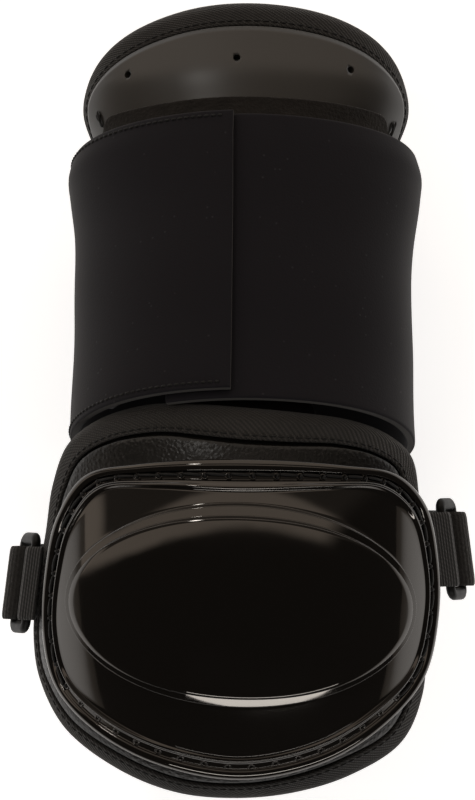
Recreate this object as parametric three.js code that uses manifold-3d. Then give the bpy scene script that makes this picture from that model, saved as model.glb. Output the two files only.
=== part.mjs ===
// A batter's elbow guard, lying on its back with the elbow up, as it keeps its form by itself.
// Millimetres, +Z up. X runs across the arm, +Y towards the shoulder, and the floor is z = 0.
import * as THREE from 'three';
import Module from 'manifold-3d';
import { mergeVertices } from 'three/addons/utils/BufferGeometryUtils.js';

const wasm = await Module();
wasm.setup();

// Clearance between two pieces that touch
const GAP = 0.3;

// Clearances between the bent layers under the wrap, and inside a folded tape
const STACK_GAP = 0.9;
const FOLD_GAP = 0.6;

// Wrap round the upper arm: an oval sleeve whose shoulder end leans down to the floor
const SLEEVE_LENGTH = 100;
const SLEEVE_HALF_WIDTH = 58.5;
const SLEEVE_HALF_DEPTH = 48;
const SLEEVE_TILT = 20.7;
const SLEEVE_LEAN = 0.6;
const SLEEVE_MOUTH_X = 0.6;
const SLEEVE_MOUTH_Y = -13;
const SLEEVE_PRESS = 4;
const NEOPRENE = 3.2;
const FLAP_EDGE_ANGLE = 94;
const FLAP_OVERLAP_ANGLE = 24;
const UNDER_LAYER_MARGIN = 2.5;

// Upper pad, its tape, plate and soft band
const UPPER_PAD_SHOW = 42;
const UPPER_PAD_LEG = 14;
const UPPER_PAD_LEG_TURN = 20;
const UPPER_PAD_START = 8;
const UPPER_PAD_FOAM = 7;
const UPPER_PAD_FLARE = 3.8;
const UPPER_PAD_FLARE_RUN = 20;
const SIDE_FLARE = 2;
const SIDE_FLARE_RUN = 16;
const ARCH_ROUNDNESS = 2.15;
const TAPE = 1.2;
const UPPER_TAPE_COVER = 8;
const PLATE_WALL = 2.2;
const PLATE_BEVEL = 3;
const PLATE_BEVEL_DROP = 0.9;
const PLATE_TUCK = 8;
const STITCH_HOLE = 2.4;
const STITCH_HOLE_ROW = 21.5;
const STITCH_HOLE_DROP = 2;
const STITCH_HOLE_ANGLES = [137, 93.5, 50];
const BAND_FABRIC = 1.2;
const BAND_SHOW = 7.5;
const BAND_LEAST_SHOW = 0.1;
const BAND_TUCK = 14;
const BAND_START_ANGLE = 27;
const BAND_END_ANGLE = 154;

// Curve of the elbow cup: across the arm it is part of an oval, along the arm part of a circle
const CUP_CROWN_HEIGHT = 126;
const CUP_CROWN_Y = -42;
const CUP_DEPTH = 88;
const CUP_EASE = 8;
const CUP_BEND_RADIUS = 128;

// Hard cap
const SHELL_HALF_WIDTH = 67.1;
const SHELL_HALF_LENGTH = 54.2;
const SHELL_CENTRE_Y = -74.2;
const SHELL_WALL = 2.5;
const SHELL_EDGE_ROUND = 0.7;
const RIM_WIDTH = 3.7;
const GROOVE_WIDTH = 4.1;
const GROOVE_DEPTH = 1.1;
const GROOVE_SIDE = 0.8;
const RIDGE_WIDTH = 3.6;
const RIDGE_HEIGHT = 0.9;
const DOME_HALF_WIDTH = 58.3;
const DOME_HALF_LENGTH = 34.2;
const DOME_CENTRE_Y = -68.8;
const DOME_TURN = -2;
const DOME_STEP = 1.9;
const DOME_STEP_RUN = 1.2;
const DOME_BENCH = 4.2;
const DOME_CROWN = 1;

// Elbow pad and its tape
const PAD_HALF_WIDTH = 67;
const PAD_HALF_LENGTH = 67.7;
const PAD_CENTRE_X = -3.2;
const PAD_CENTRE_Y = -68.4;
const PAD_FOAM = 9;
const PAD_SHOULDER = 4;
const PAD_HOLLOW = 0.8;
const ELBOW_TAPE_COVER = 8.5;

// Hidden panel between the two pads
const HINGE_WIDTH = 64;
const HINGE_THICKNESS = 2;
const HINGE_LAP = 12;

// Rings, tabs and forearm strap
const WEBBING_WIDTH = 25.4;
const WEBBING = 1.8;
const TAB_WEBBING = 1.4;
const TAB_SLOPE = 35;
const TAB_WRAP = 200;
const RING_LENGTH = 35;
const RING_WIDTH = 15;
const RING_WIRE = 3.2;
const RING_CORNER = 3;
const RING_SLOPE = 70;
const STRAP_LEAN = 7.5;
const STRAP_FALL = 9;
const STRAP_TAIL = 42;
const STRAP_PRESS = 2;
const STRAP_ROUNDNESS = 2.6;

// Where each ring hangs: its place along the arm, how far past the cap's edge and past the
// pad's edge its tab starts at least, the height of that start over the cap's outer face, and
// the tab's length to the ring. The right tab comes out from under the cap.
const LEFT_RING_Y = -62.5;
const LEFT_PAST_CAP = 2.2;
const LEFT_PAST_PAD = -1;
const LEFT_TAB_LAYER = -0.9;
const LEFT_TAB_REACH = 7;
const RIGHT_RING_Y = -51;
const RIGHT_PAST_CAP = -0.6;
const RIGHT_PAST_PAD = 3.2;
const RIGHT_TAB_LAYER = -6;
const RIGHT_TAB_REACH = 12.2;

const STRAP_SIDES = [
  {
    name: 'left',
    side: -1,
    y: LEFT_RING_Y,
    pastCap: LEFT_PAST_CAP,
    pastPad: LEFT_PAST_PAD,
    layer: LEFT_TAB_LAYER,
    reach: LEFT_TAB_REACH,
  },
  {
    name: 'right',
    side: 1,
    y: RIGHT_RING_Y,
    pastCap: RIGHT_PAST_CAP,
    pastPad: RIGHT_PAST_PAD,
    layer: RIGHT_TAB_LAYER,
    reach: RIGHT_TAB_REACH,
  },
];

// Outline of the cap seen from above, as shares of its half width and half length
const SHELL_OUTLINE = [
  { x: 0, y: 1 },
  { x: 0.51, y: 0.963 },
  { x: 0.785, y: 0.9 },
  { x: 0.93, y: 0.712 },
  { x: 0.995, y: 0.37 },
  { x: 1, y: 0.025 },
  { x: 0.93, y: -0.362 },
  { x: 0.742, y: -0.644 },
  { x: 0.434, y: -0.887 },
  { x: 0, y: -1 },
  { x: -0.444, y: -0.894 },
  { x: -0.755, y: -0.68 },
  { x: -0.937, y: -0.425 },
  { x: -1, y: -0.1 },
  { x: -0.985, y: 0.306 },
  { x: -0.924, y: 0.637 },
  { x: -0.783, y: 0.894 },
  { x: -0.52, y: 0.969 },
];

// Outline of the elbow pad with its tape, as shares of its half width and half length
const PAD_OUTLINE = [
  { x: 0.04, y: 0.985 },
  { x: 0.36, y: 0.955 },
  { x: 0.62, y: 0.915 },
  { x: 0.8, y: 0.845 },
  { x: 0.915, y: 0.74 },
  { x: 0.955, y: 0.54 },
  { x: 0.975, y: 0.18 },
  { x: 0.99, y: -0.16 },
  { x: 0.975, y: -0.48 },
  { x: 0.87, y: -0.72 },
  { x: 0.62, y: -0.88 },
  { x: 0.33, y: -0.97 },
  { x: 0.02, y: -1 },
  { x: -0.29, y: -0.97 },
  { x: -0.59, y: -0.85 },
  { x: -0.85, y: -0.65 },
  { x: -0.97, y: -0.41 },
  { x: -1, y: -0.2 },
  { x: -0.985, y: 0.06 },
  { x: -0.94, y: 0.36 },
  { x: -0.905, y: 0.6 },
  { x: -0.83, y: 0.8 },
  { x: -0.68, y: 0.92 },
  { x: -0.43, y: 0.995 },
  { x: -0.2, y: 1 },
];

// Half width of the sleeve along its length, as shares of SLEEVE_LENGTH and SLEEVE_HALF_WIDTH
const SLEEVE_SIDES = [
  { along: 0, width: 0.997 },
  { along: 0.2, width: 0.988 },
  { along: 0.45, width: 0.98 },
  { along: 0.7, width: 0.988 },
  { along: 0.86, width: 1.025 },
  { along: 0.93, width: 1.028 },
  { along: 1, width: 0.985 },
];

const radians = THREE.MathUtils.degToRad;
const degrees = THREE.MathUtils.radToDeg;
const mix = THREE.MathUtils.lerp;
const vector = (x, y, z) => new THREE.Vector3(x, y, z);

// Smooth rise from 0 at low to 1 at high
function rise(value, low, high) {
  return THREE.MathUtils.smoothstep(value, low, high);
}

// Evenly spaced numbers from first to last
function steps(first, last, count) {
  return Array.from({ length: count + 1 }, (_, i) => mix(first, last, i / count));
}

// Rounded edge of a slab seen in section: reach from the edge, and height from the middle
function edgeArc(half, radius, count) {
  return steps(-90, 90, count).map((angle) => ({
    inset: half - radius * Math.cos(radians(angle)),
    layer: radius * Math.sin(radians(angle)),
  }));
}

// A closed body from triangles over shared points, turned so that its faces point out
function bodyFrom(points, triangles) {
  let volume = 0;
  for (const [a, b, c] of triangles) {
    volume += points[a].dot(points[b].clone().cross(points[c]));
  }
  const geometry = new THREE.BufferGeometry();
  const numbers = points.flatMap((point) => [point.x, point.y, point.z]);
  geometry.setAttribute('position', new THREE.Float32BufferAttribute(numbers, 3));
  geometry.setIndex(triangles.flatMap(([a, b, c]) => (volume > 0 ? [a, b, c] : [a, c, b])));
  return geometry;
}

// A wall between an outer and an inner line, carried along columns. Each column holds two
// lists of the same length. A looped wall joins its last column to its first.
function wallBody(columns, looped = false) {
  const rows = columns[0].outer.length;
  const points = columns.flatMap((column) => [...column.outer, ...column.inner]);
  const outer = (i, j) => (i % columns.length) * rows * 2 + j;
  const inner = (i, j) => outer(i, j) + rows;
  const triangles = [];
  const quad = (a, b, c, d) => triangles.push([a, b, c], [a, c, d]);
  const last = columns.length - 1;
  const end = rows - 1;
  for (let i = 0; i < (looped ? last + 1 : last); i += 1) {
    for (let j = 0; j < end; j += 1) {
      quad(outer(i, j), outer(i + 1, j), outer(i + 1, j + 1), outer(i, j + 1));
      quad(inner(i, j), inner(i, j + 1), inner(i + 1, j + 1), inner(i + 1, j));
    }
    quad(outer(i, 0), inner(i, 0), inner(i + 1, 0), outer(i + 1, 0));
    quad(outer(i, end), outer(i + 1, end), inner(i + 1, end), inner(i, end));
  }
  if (!looped) {
    for (let j = 0; j < end; j += 1) {
      quad(outer(0, j), outer(0, j + 1), inner(0, j + 1), inner(0, j));
      quad(outer(last, j), inner(last, j), inner(last, j + 1), outer(last, j + 1));
    }
  }
  return bodyFrom(points, triangles);
}

// A body from closed rings of equal count, with one point before the first and after the last
function ringBody(firstPole, rings, lastPole) {
  const count = rings[0].length;
  const points = [firstPole, ...rings.flat(), lastPole];
  const at = (ring, j) => 1 + ring * count + (j % count);
  const end = points.length - 1;
  const triangles = [];
  for (let j = 0; j < count; j += 1) {
    triangles.push([0, at(0, j), at(0, j + 1)]);
    for (let ring = 0; ring < rings.length - 1; ring += 1) {
      triangles.push([at(ring, j), at(ring + 1, j), at(ring + 1, j + 1)]);
      triangles.push([at(ring, j), at(ring + 1, j + 1), at(ring, j + 1)]);
    }
    triangles.push([end, at(rings.length - 1, j + 1), at(rings.length - 1, j)]);
  }
  return bodyFrom(points, triangles);
}

// Sleeve: its axis starts at the mouth by the elbow and leans down towards the shoulder end
const tilt = radians(SLEEVE_TILT);
const mouthHeight = SLEEVE_LENGTH * Math.sin(tilt) + SLEEVE_HALF_DEPTH * Math.cos(tilt) - SLEEVE_PRESS;
const mouth = vector(SLEEVE_MOUTH_X, SLEEVE_MOUTH_Y, mouthHeight);
const sleeveAxis = vector(Math.tan(radians(SLEEVE_LEAN)), Math.cos(tilt), -Math.sin(tilt));
const sleeveFront = vector(0, Math.sin(tilt), Math.cos(tilt));
const wrapLift = NEOPRENE + GAP;

function sleeveHalfWidth(along) {
  const last = SLEEVE_SIDES.length - 1;
  const first = SLEEVE_SIDES[0].along;
  const share = THREE.MathUtils.clamp(along / SLEEVE_LENGTH, first, SLEEVE_SIDES[last].along);
  const next = Math.max(1, SLEEVE_SIDES.findIndex((row) => row.along >= share));
  const low = SLEEVE_SIDES[next - 1];
  const high = SLEEVE_SIDES[next];
  return THREE.MathUtils.mapLinear(share, low.along, high.along, low.width, high.width) * SLEEVE_HALF_WIDTH;
}

// Point of the sleeve: angle 0 is its right side and 90 its front, and depth is measured in
// from the face of the flap
function sleevePoint(angle, along, depth) {
  const turn = radians(angle);
  const point = mouth.clone().addScaledVector(sleeveAxis, along);
  point.x += (sleeveHalfWidth(along) - depth) * Math.cos(turn);
  point.addScaledVector(sleeveFront, (SLEEVE_HALF_DEPTH - depth) * Math.sin(turn));
  return point;
}

// The front of the sleeve is pressed in under the flap, and its sides aren't
function frontPress(angle) {
  return rise(angle, 20, 80) * (1 - rise(angle, FLAP_EDGE_ANGLE + FLAP_OVERLAP_ANGLE, 165));
}

// Point of the wrap, pressed flat where it rests on the floor
function wrapPoint(angle, along, depth, floor) {
  const point = sleevePoint(angle, along, depth);
  point.z = Math.max(point.z, floor);
  return point;
}

// Wrap: starts under the flap, runs round the right side and the back, and ends as the flap
function cuffStrap() {
  const startAngle = FLAP_EDGE_ANGLE + FLAP_OVERLAP_ANGLE;
  const columns = steps(startAngle, FLAP_EDGE_ANGLE - 360, 60).map((angle) => {
    const depth = angle > 0 ? wrapLift * frontPress(angle) : 0;
    const margin = UNDER_LAYER_MARGIN * rise(angle, -200, -90);
    const lines = SLEEVE_SIDES.map((row) => mix(-margin, SLEEVE_LENGTH, row.along));
    return {
      outer: lines.map((along) => wrapPoint(angle, along, depth, 0)),
      inner: lines.map((along) => wrapPoint(angle, along, depth + NEOPRENE, NEOPRENE)),
    };
  });
  return wallBody(columns);
}

// Point of the stack under the wrap, layer mm below the wrap's inner face. Past the wrap's end
// the stack springs out, and sooner at its two sides.
function stackPoint(angle, along, layer) {
  const start = SLEEVE_LENGTH - GAP;
  const sides = Math.cos(radians(angle)) ** 2;
  const flare = UPPER_PAD_FLARE * rise(along, start, SLEEVE_LENGTH + UPPER_PAD_FLARE_RUN);
  const sideFlare = SIDE_FLARE * sides * rise(along, start, SLEEVE_LENGTH + SIDE_FLARE_RUN);
  const lift = wrapLift * frontPress(angle) + NEOPRENE + STACK_GAP;
  return sleevePoint(angle, along, lift + layer - flare - sideFlare);
}

const plateLayer = BAND_FABRIC + STACK_GAP;
const padLayer = plateLayer + PLATE_WALL + STACK_GAP;
const archTurns = steps(-UPPER_PAD_LEG_TURN, 180 + UPPER_PAD_LEG_TURN, 36);

// Arched edge of the upper pad. Turn runs from 0 at the right side to 180 at the left side,
// with a straight leg before and after, and inset is measured in from the edge.
function archEdge(turn, inset) {
  const onArch = THREE.MathUtils.clamp(turn, 0, 180);
  const power = 2 / ARCH_ROUNDNESS;
  const cosine = Math.cos(radians(onArch));
  const height = Math.sin(radians(onArch)) ** power;
  const halfAngle = 90 - degrees(inset / SLEEVE_HALF_DEPTH);
  const leg = Math.abs(turn - onArch) * UPPER_PAD_LEG / UPPER_PAD_LEG_TURN;
  return {
    angle: 90 - halfAngle * Math.sign(cosine) * Math.abs(cosine) ** power,
    along: SLEEVE_LENGTH - leg + (UPPER_PAD_SHOW - inset) * height,
  };
}

function upperPad() {
  const half = UPPER_PAD_FOAM / 2;
  const middle = padLayer + half;
  const round = edgeArc(half, half, 4);
  const columns = archTurns.map((turn) => {
    const rim = archEdge(turn, UPPER_TAPE_COVER);
    const edge = (row) => {
      const place = archEdge(turn, row.inset);
      return stackPoint(place.angle, place.along, middle + row.layer);
    };
    const face = (layer) => [1, 0.94, 0.88, 0.82, 0.76, 0.7, 0.35, 0].map((share) => (
      stackPoint(rim.angle, mix(UPPER_PAD_START, rim.along, share), middle + layer)
    ));
    return {
      outer: [edge(round[1]), edge(round[0]), ...face(-half)],
      inner: [edge(round[3]), edge(round[4]), ...face(half)],
    };
  });
  return wallBody(columns);
}

// Folded tape: a leg on each face of a slab and a round back over its edge
function tapeLine(half, radius, cover) {
  const arc = edgeArc(half, radius, 4);
  return [{ inset: cover, layer: -radius }, ...arc, { inset: cover, layer: radius }];
}

function upperBinding() {
  const half = UPPER_PAD_FOAM / 2;
  const place = (turn, row) => {
    const edge = archEdge(turn, row.inset);
    return stackPoint(edge.angle, edge.along, padLayer + half + row.layer);
  };
  const columns = archTurns.map((turn) => ({
    outer: tapeLine(half, half + FOLD_GAP + TAPE, UPPER_TAPE_COVER).map((row) => place(turn, row)),
    inner: tapeLine(half, half + FOLD_GAP, UPPER_TAPE_COVER).map((row) => place(turn, row)),
  }));
  return wallBody(columns);
}

// Hard plate inside the tape, with a bevel along its arched edge and stitch holes
function upperPlate() {
  const edgeInset = UPPER_TAPE_COVER + GAP;
  const place = (turn, inset, layer) => {
    const edge = archEdge(turn, edgeInset + inset);
    return stackPoint(edge.angle, edge.along, layer);
  };
  const insets = [0, PLATE_BEVEL, 2 * PLATE_BEVEL];
  const columns = archTurns.slice(1, -1).map((turn) => {
    const rim = archEdge(turn, edgeInset + 2 * PLATE_BEVEL);
    const low = steps(rim.along, SLEEVE_LENGTH - PLATE_TUCK - UPPER_PAD_LEG, 5).slice(1);
    const down = (layer) => low.map((along) => stackPoint(rim.angle, along, layer));
    const drops = [PLATE_BEVEL_DROP, 0, 0];
    const inside = plateLayer + PLATE_WALL;
    const bevel = insets.map((inset, i) => place(turn, inset, plateLayer + drops[i]));
    const flat = insets.map((inset) => place(turn, inset, inside));
    return { outer: [...bevel, ...down(plateLayer)], inner: [...flat, ...down(inside)] };
  });
  let plate = solidFrom(wallBody(columns));
  for (const angle of STITCH_HOLE_ANGLES) {
    const along = SLEEVE_LENGTH + STITCH_HOLE_ROW - STITCH_HOLE_DROP * Math.abs(Math.cos(radians(angle)));
    const top = stackPoint(angle, along, 0);
    const bottom = stackPoint(angle, along, 2 * (plateLayer + PLATE_WALL));
    const pin = new THREE.CylinderGeometry(STITCH_HOLE / 2, STITCH_HOLE / 2, top.distanceTo(bottom), 12);
    const upright = new THREE.Quaternion();
    upright.setFromUnitVectors(vector(0, 1, 0), top.clone().sub(bottom).normalize());
    pin.applyQuaternion(upright);
    const middle = top.lerp(bottom, 0.5);
    pin.translate(middle.x, middle.y, middle.z);
    plate = plate.subtract(solidFrom(pin));
  }
  return geometryFrom(plate);
}

// Soft band over the plate's lower edge, rounded at its two upper corners
function loopPanel() {
  const middle = (BAND_START_ANGLE + BAND_END_ANGLE) / 2;
  const reach = (BAND_END_ANGLE - BAND_START_ANGLE) / 2;
  const columns = steps(-1, 1, 24).map((share) => {
    const angle = middle + reach * share;
    const corner = Math.min(1, (1 - Math.abs(share)) * reach / 8);
    const show = BAND_SHOW * Math.max(Math.sqrt(1 - (1 - corner) ** 2), BAND_LEAST_SHOW);
    const lines = [
      ...steps(SLEEVE_LENGTH - BAND_TUCK, SLEEVE_LENGTH, 3),
      ...steps(SLEEVE_LENGTH, SLEEVE_LENGTH + show, 2).slice(1),
    ];
    return {
      outer: lines.map((along) => stackPoint(angle, along, 0)),
      inner: lines.map((along) => stackPoint(angle, along, BAND_FABRIC)),
    };
  });
  return wallBody(columns);
}

// Elbow cup: height of its outer face over the floor
const padEdgeX = PAD_HALF_WIDTH + Math.abs(PAD_CENTRE_X);
const cupHalfWidth = Math.max(padEdgeX, SHELL_HALF_WIDTH) + CUP_EASE;

function ovalDrop(share) {
  return 1 - Math.sqrt(1 - Math.min(share * share, 0.99));
}

function cupHeight(x, y) {
  const across = CUP_DEPTH * ovalDrop(x / cupHalfWidth);
  const down = CUP_BEND_RADIUS * ovalDrop((y - CUP_CROWN_Y) / CUP_BEND_RADIUS);
  return CUP_CROWN_HEIGHT - across - down;
}

function cupNormal(x, y) {
  const step = 0.05;
  const slopeX = (cupHeight(x + step, y) - cupHeight(x - step, y)) / (2 * step);
  const slopeY = (cupHeight(x, y + step) - cupHeight(x, y - step)) / (2 * step);
  return vector(-slopeX, -slopeY, 1).normalize();
}

// Point at a height over the cup's outer face, measured square to it
function cupPoint(spot, layer) {
  const face = vector(spot.x, spot.y, cupHeight(spot.x, spot.y));
  return face.addScaledVector(cupNormal(spot.x, spot.y), layer);
}

// Spot on the cup whose point at this layer lies under the given place of the outline
function spotUnder(place, layer) {
  const spot = place.clone();
  for (let i = 0; i < 6; i += 1) {
    const normal = cupNormal(spot.x, spot.y);
    spot.set(place.x - normal.x * layer, place.y - normal.y * layer, 0);
  }
  return spot;
}

// Spot moved from the outline towards the centre by a length measured on the cup's face
function inward(spot, centre, length) {
  const ray = centre.clone().sub(spot).normalize();
  const slope = cupHeight(spot.x + ray.x, spot.y + ray.y) - cupHeight(spot.x, spot.y);
  return spot.clone().addScaledVector(ray, length / Math.hypot(1, slope));
}

// Closed smooth outline through a table of shares
function outlineSpots(table, centre, halfWidth, halfLength, count) {
  const corners = table.map((row) => (
    vector(centre.x + row.x * halfWidth, centre.y + row.y * halfLength, 0)
  ));
  const curve = new THREE.CatmullRomCurve3(corners, true, 'centripetal');
  return curve.getSpacedPoints(count).slice(0, count);
}

const shellCentre = vector(0, SHELL_CENTRE_Y, 0);
const shellSpots = outlineSpots(SHELL_OUTLINE, shellCentre, SHELL_HALF_WIDTH, SHELL_HALF_LENGTH, 52);
const domeCentre = vector(0, DOME_CENTRE_Y, 0);

// Spot of the dome's oval edge on the ray through an outline spot
function domeSpot(spot) {
  const ray = spot.clone().sub(domeCentre).normalize();
  const turned = ray.clone().applyAxisAngle(vector(0, 0, 1), -radians(DOME_TURN));
  const reach = 1 / Math.hypot(turned.x / DOME_HALF_WIDTH, turned.y / DOME_HALF_LENGTH);
  return domeCentre.clone().addScaledVector(ray, reach);
}

function elbowShell() {
  const rimRing = (inset, layer) => shellSpots.map((spot) => (
    cupPoint(inward(spot, domeCentre, inset), layer)
  ));
  const domeRing = (inset, layer) => shellSpots.map((spot) => (
    cupPoint(inward(domeSpot(spot), domeCentre, inset), layer)
  ));
  const coreRing = (share, layer) => shellSpots.map((spot) => {
    const edge = inward(domeSpot(spot), domeCentre, DOME_BENCH + DOME_STEP_RUN);
    return cupPoint(domeCentre.clone().lerp(edge, share), layer);
  });
  const faceInset = RIM_WIDTH + GROOVE_WIDTH + RIDGE_WIDTH;
  const ridgeInset = RIM_WIDTH + GROOVE_WIDTH + RIDGE_WIDTH / 2;
  const top = 2 * DOME_STEP;
  const halfway = shellSpots.map((spot) => {
    const face = inward(spot, domeCentre, faceInset);
    return cupPoint(face.lerp(domeSpot(spot), 0.5), 0);
  });
  const rings = [
    coreRing(0.45, top + DOME_CROWN * 0.8),
    coreRing(1, top),
    domeRing(DOME_BENCH, DOME_STEP),
    domeRing(DOME_STEP_RUN, DOME_STEP),
    domeRing(0, 0),
    halfway,
    rimRing(faceInset, 0),
    rimRing(ridgeInset, RIDGE_HEIGHT),
    rimRing(RIM_WIDTH + GROOVE_WIDTH, 0),
    rimRing(RIM_WIDTH + GROOVE_WIDTH - GROOVE_SIDE, -GROOVE_DEPTH),
    rimRing(RIM_WIDTH + GROOVE_SIDE, -GROOVE_DEPTH),
    rimRing(RIM_WIDTH, 0),
    rimRing(SHELL_EDGE_ROUND, 0),
    rimRing(0, -SHELL_EDGE_ROUND),
    rimRing(0, SHELL_EDGE_ROUND - SHELL_WALL),
    rimRing(SHELL_EDGE_ROUND, -SHELL_WALL),
    rimRing(faceInset, -SHELL_WALL),
    domeRing(0, -SHELL_WALL),
    coreRing(1, DOME_STEP - SHELL_WALL),
    coreRing(0.45, top - SHELL_WALL),
  ];
  const crown = cupPoint(domeCentre, top + DOME_CROWN);
  return ringBody(crown, rings, cupPoint(domeCentre, top + DOME_CROWN - SHELL_WALL));
}

// Elbow pad: its edge is sunk by the tape, and its middle rises to the cap
const padCentre = vector(PAD_CENTRE_X, PAD_CENTRE_Y, 0);
const padFace = -(SHELL_WALL + GAP);
const padHalf = PAD_FOAM / 2;
const padMiddle = padFace - TAPE - FOLD_GAP - padHalf;
const padPlaces = outlineSpots(PAD_OUTLINE, padCentre, PAD_HALF_WIDTH, PAD_HALF_LENGTH, 52);
const padSpots = padPlaces.map((place) => (
  inward(spotUnder(place, padMiddle / 2), padCentre, TAPE + FOLD_GAP)
));

function padRing(inset, layer) {
  return padSpots.map((spot) => cupPoint(inward(spot, padCentre, inset), layer));
}

function elbowPad() {
  const round = edgeArc(padHalf, padHalf, 4);
  const core = (share, layer) => padSpots.map((spot) => {
    const edge = inward(spot, padCentre, ELBOW_TAPE_COVER + PAD_SHOULDER);
    return cupPoint(padCentre.clone().lerp(edge, share), layer);
  });
  const rings = [
    core(0.4, padFace - PAD_HOLLOW),
    core(0.75, padFace - PAD_HOLLOW),
    core(1, padFace),
    padRing(ELBOW_TAPE_COVER + GAP, padMiddle + padHalf),
    ...round.reverse().map((row) => padRing(row.inset, padMiddle + row.layer)),
    padRing(ELBOW_TAPE_COVER + GAP, padMiddle - padHalf),
    core(0.75, padMiddle - padHalf),
    core(0.4, padMiddle - padHalf),
  ];
  const back = cupPoint(padCentre, padMiddle - padHalf);
  return ringBody(cupPoint(padCentre, padFace - PAD_HOLLOW), rings, back);
}

function elbowBinding() {
  const line = (spot, radius) => tapeLine(padHalf, radius, ELBOW_TAPE_COVER).map((row) => (
    cupPoint(inward(spot, padCentre, row.inset), padMiddle - row.layer)
  ));
  const columns = padSpots.map((spot) => ({
    outer: line(spot, padHalf + FOLD_GAP + TAPE),
    inner: line(spot, padHalf + FOLD_GAP),
  }));
  return wallBody(columns, true);
}

// Hidden panel on the inner faces of the two pads, across the fold of the arm
function hingePanel() {
  const underPad = padLayer + UPPER_PAD_FOAM + GAP;
  const underCup = padMiddle - padHalf - FOLD_GAP - TAPE - GAP;
  const topY = PAD_CENTRE_Y + PAD_HALF_LENGTH;
  const columns = steps(-HINGE_WIDTH / 2, HINGE_WIDTH / 2, 8).map((x) => {
    const angle = degrees(Math.acos(x / SLEEVE_HALF_WIDTH));
    const fold = vector(x, topY, 0);
    const line = (layer) => [
      stackPoint(angle, UPPER_PAD_START + HINGE_LAP, underPad + layer),
      stackPoint(angle, UPPER_PAD_START, underPad + layer),
      cupPoint(fold, underCup - layer),
      cupPoint(fold.clone().sub(vector(0, HINGE_LAP, 0)), underCup - layer),
    ];
    return { outer: line(0), inner: line(HINGE_THICKNESS) };
  });
  return wallBody(columns);
}

// Frame of a ring: along its bars, and down the slope from its inner to its outer bar
const barSpan = RING_WIDTH - RING_WIRE;

// Direction across the webbing: it leans in and follows the cup's slope by the rings, and lies
// flat on the floor
function across(x) {
  const share = THREE.MathUtils.clamp(x / SHELL_HALF_WIDTH, -1, 1);
  const lean = radians(STRAP_LEAN) * -share;
  const y = share < 0 ? STRAP_SIDES[0].y : STRAP_SIDES[1].y;
  const pitch = (CUP_CROWN_Y - y) / CUP_BEND_RADIUS * rise(Math.abs(share), 0.5, 1);
  return vector(Math.sin(lean), Math.cos(lean), pitch).normalize();
}

function slopeVector(side, slope) {
  return vector(side * Math.cos(radians(slope)), 0, -Math.sin(radians(slope)));
}

// Distance of an outline from the middle of the arm, on one side at a place along the arm
function sideReach(spots, side, y) {
  const near = spots.filter((spot) => spot.x * side > 0);
  near.sort((a, b) => Math.abs(a.y - y) - Math.abs(b.y - y));
  return Math.abs(near[0].x);
}

// Start of the tab, the two bars of the ring, and the directions of the tab and the ring
function sideFrame(row) {
  const fromCap = sideReach(shellSpots, row.side, row.y) + row.pastCap;
  const fromPad = sideReach(padPlaces, row.side, row.y) + row.pastPad;
  const edge = vector(row.side * Math.max(fromCap, fromPad), row.y, 0);
  const start = cupPoint(edge, row.layer);
  const down = slopeVector(row.side, TAB_SLOPE);
  const up = vector(row.side * Math.sin(radians(TAB_SLOPE)), 0, Math.cos(radians(TAB_SLOPE)));
  const tabRadius = (RING_WIRE + TAB_WEBBING) / 2 + GAP;
  const innerBar = start.clone().addScaledVector(down, row.reach).addScaledVector(up, -tabRadius);
  innerBar.y = row.y;
  const outerBar = innerBar.clone().addScaledVector(slopeVector(row.side, RING_SLOPE), barSpan);
  return { ...row, start, down, up, tabRadius, innerBar, outerBar };
}

// Ribbon of webbing: centre points in order, each with the direction across it
function ribbonBody(centres, width, thickness) {
  const columns = centres.map((centre, i) => {
    const before = centres[Math.max(i - 1, 0)];
    const after = centres[Math.min(i + 1, centres.length - 1)];
    const side = across(centre.x);
    const normal = after.clone().sub(before).cross(side).normalize();
    const edge = (share, layer) => {
      const point = centre.clone().addScaledVector(side, share * width / 2).addScaledVector(normal, layer);
      point.z = Math.max(point.z, 0);
      return point;
    };
    return {
      outer: [edge(-1, thickness / 2), edge(1, thickness / 2)],
      inner: [edge(-1, -thickness / 2), edge(1, -thickness / 2)],
    };
  });
  return wallBody(columns);
}

function tab(frame) {
  const centres = [frame.start.clone()];
  centres[0].y = frame.y;
  for (const angle of steps(0, TAB_WRAP, 10)) {
    const turn = radians(angle);
    const point = frame.innerBar.clone();
    point.addScaledVector(frame.up, Math.cos(turn) * frame.tabRadius);
    point.addScaledVector(frame.down, Math.sin(turn) * frame.tabRadius);
    centres.push(point);
  }
  return ribbonBody(centres, WEBBING_WIDTH, TAB_WEBBING);
}

function ring(frame) {
  const along = across(frame.innerBar.x);
  const down = slopeVector(frame.side, RING_SLOPE);
  const out = along.clone().cross(down).normalize();
  const centre = frame.innerBar.clone().lerp(frame.outerBar, 0.5);
  const halfLong = (RING_LENGTH - RING_WIRE) / 2;
  const halfWide = barSpan / 2;
  const corners = [[1, 1, 0], [-1, 1, 90], [-1, -1, 180], [1, -1, 270]];
  const columns = corners.flatMap(([u, v, first]) => steps(first, first + 90, 4).map((angle) => {
    const turn = radians(angle);
    const outward = along.clone().multiplyScalar(Math.cos(turn)).addScaledVector(down, Math.sin(turn));
    const middle = centre.clone();
    middle.addScaledVector(along, u * (halfLong - RING_CORNER));
    middle.addScaledVector(down, v * (halfWide - RING_CORNER));
    middle.addScaledVector(outward, RING_CORNER);
    const wire = (degree) => middle.clone()
      .addScaledVector(outward, Math.cos(radians(degree)) * RING_WIRE / 2)
      .addScaledVector(out, Math.sin(radians(degree)) * RING_WIRE / 2);
    return { outer: [0, 60, 120].map(wire), inner: [300, 240, 180].map(wire) };
  }));
  return wallBody(columns, true);
}

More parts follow.
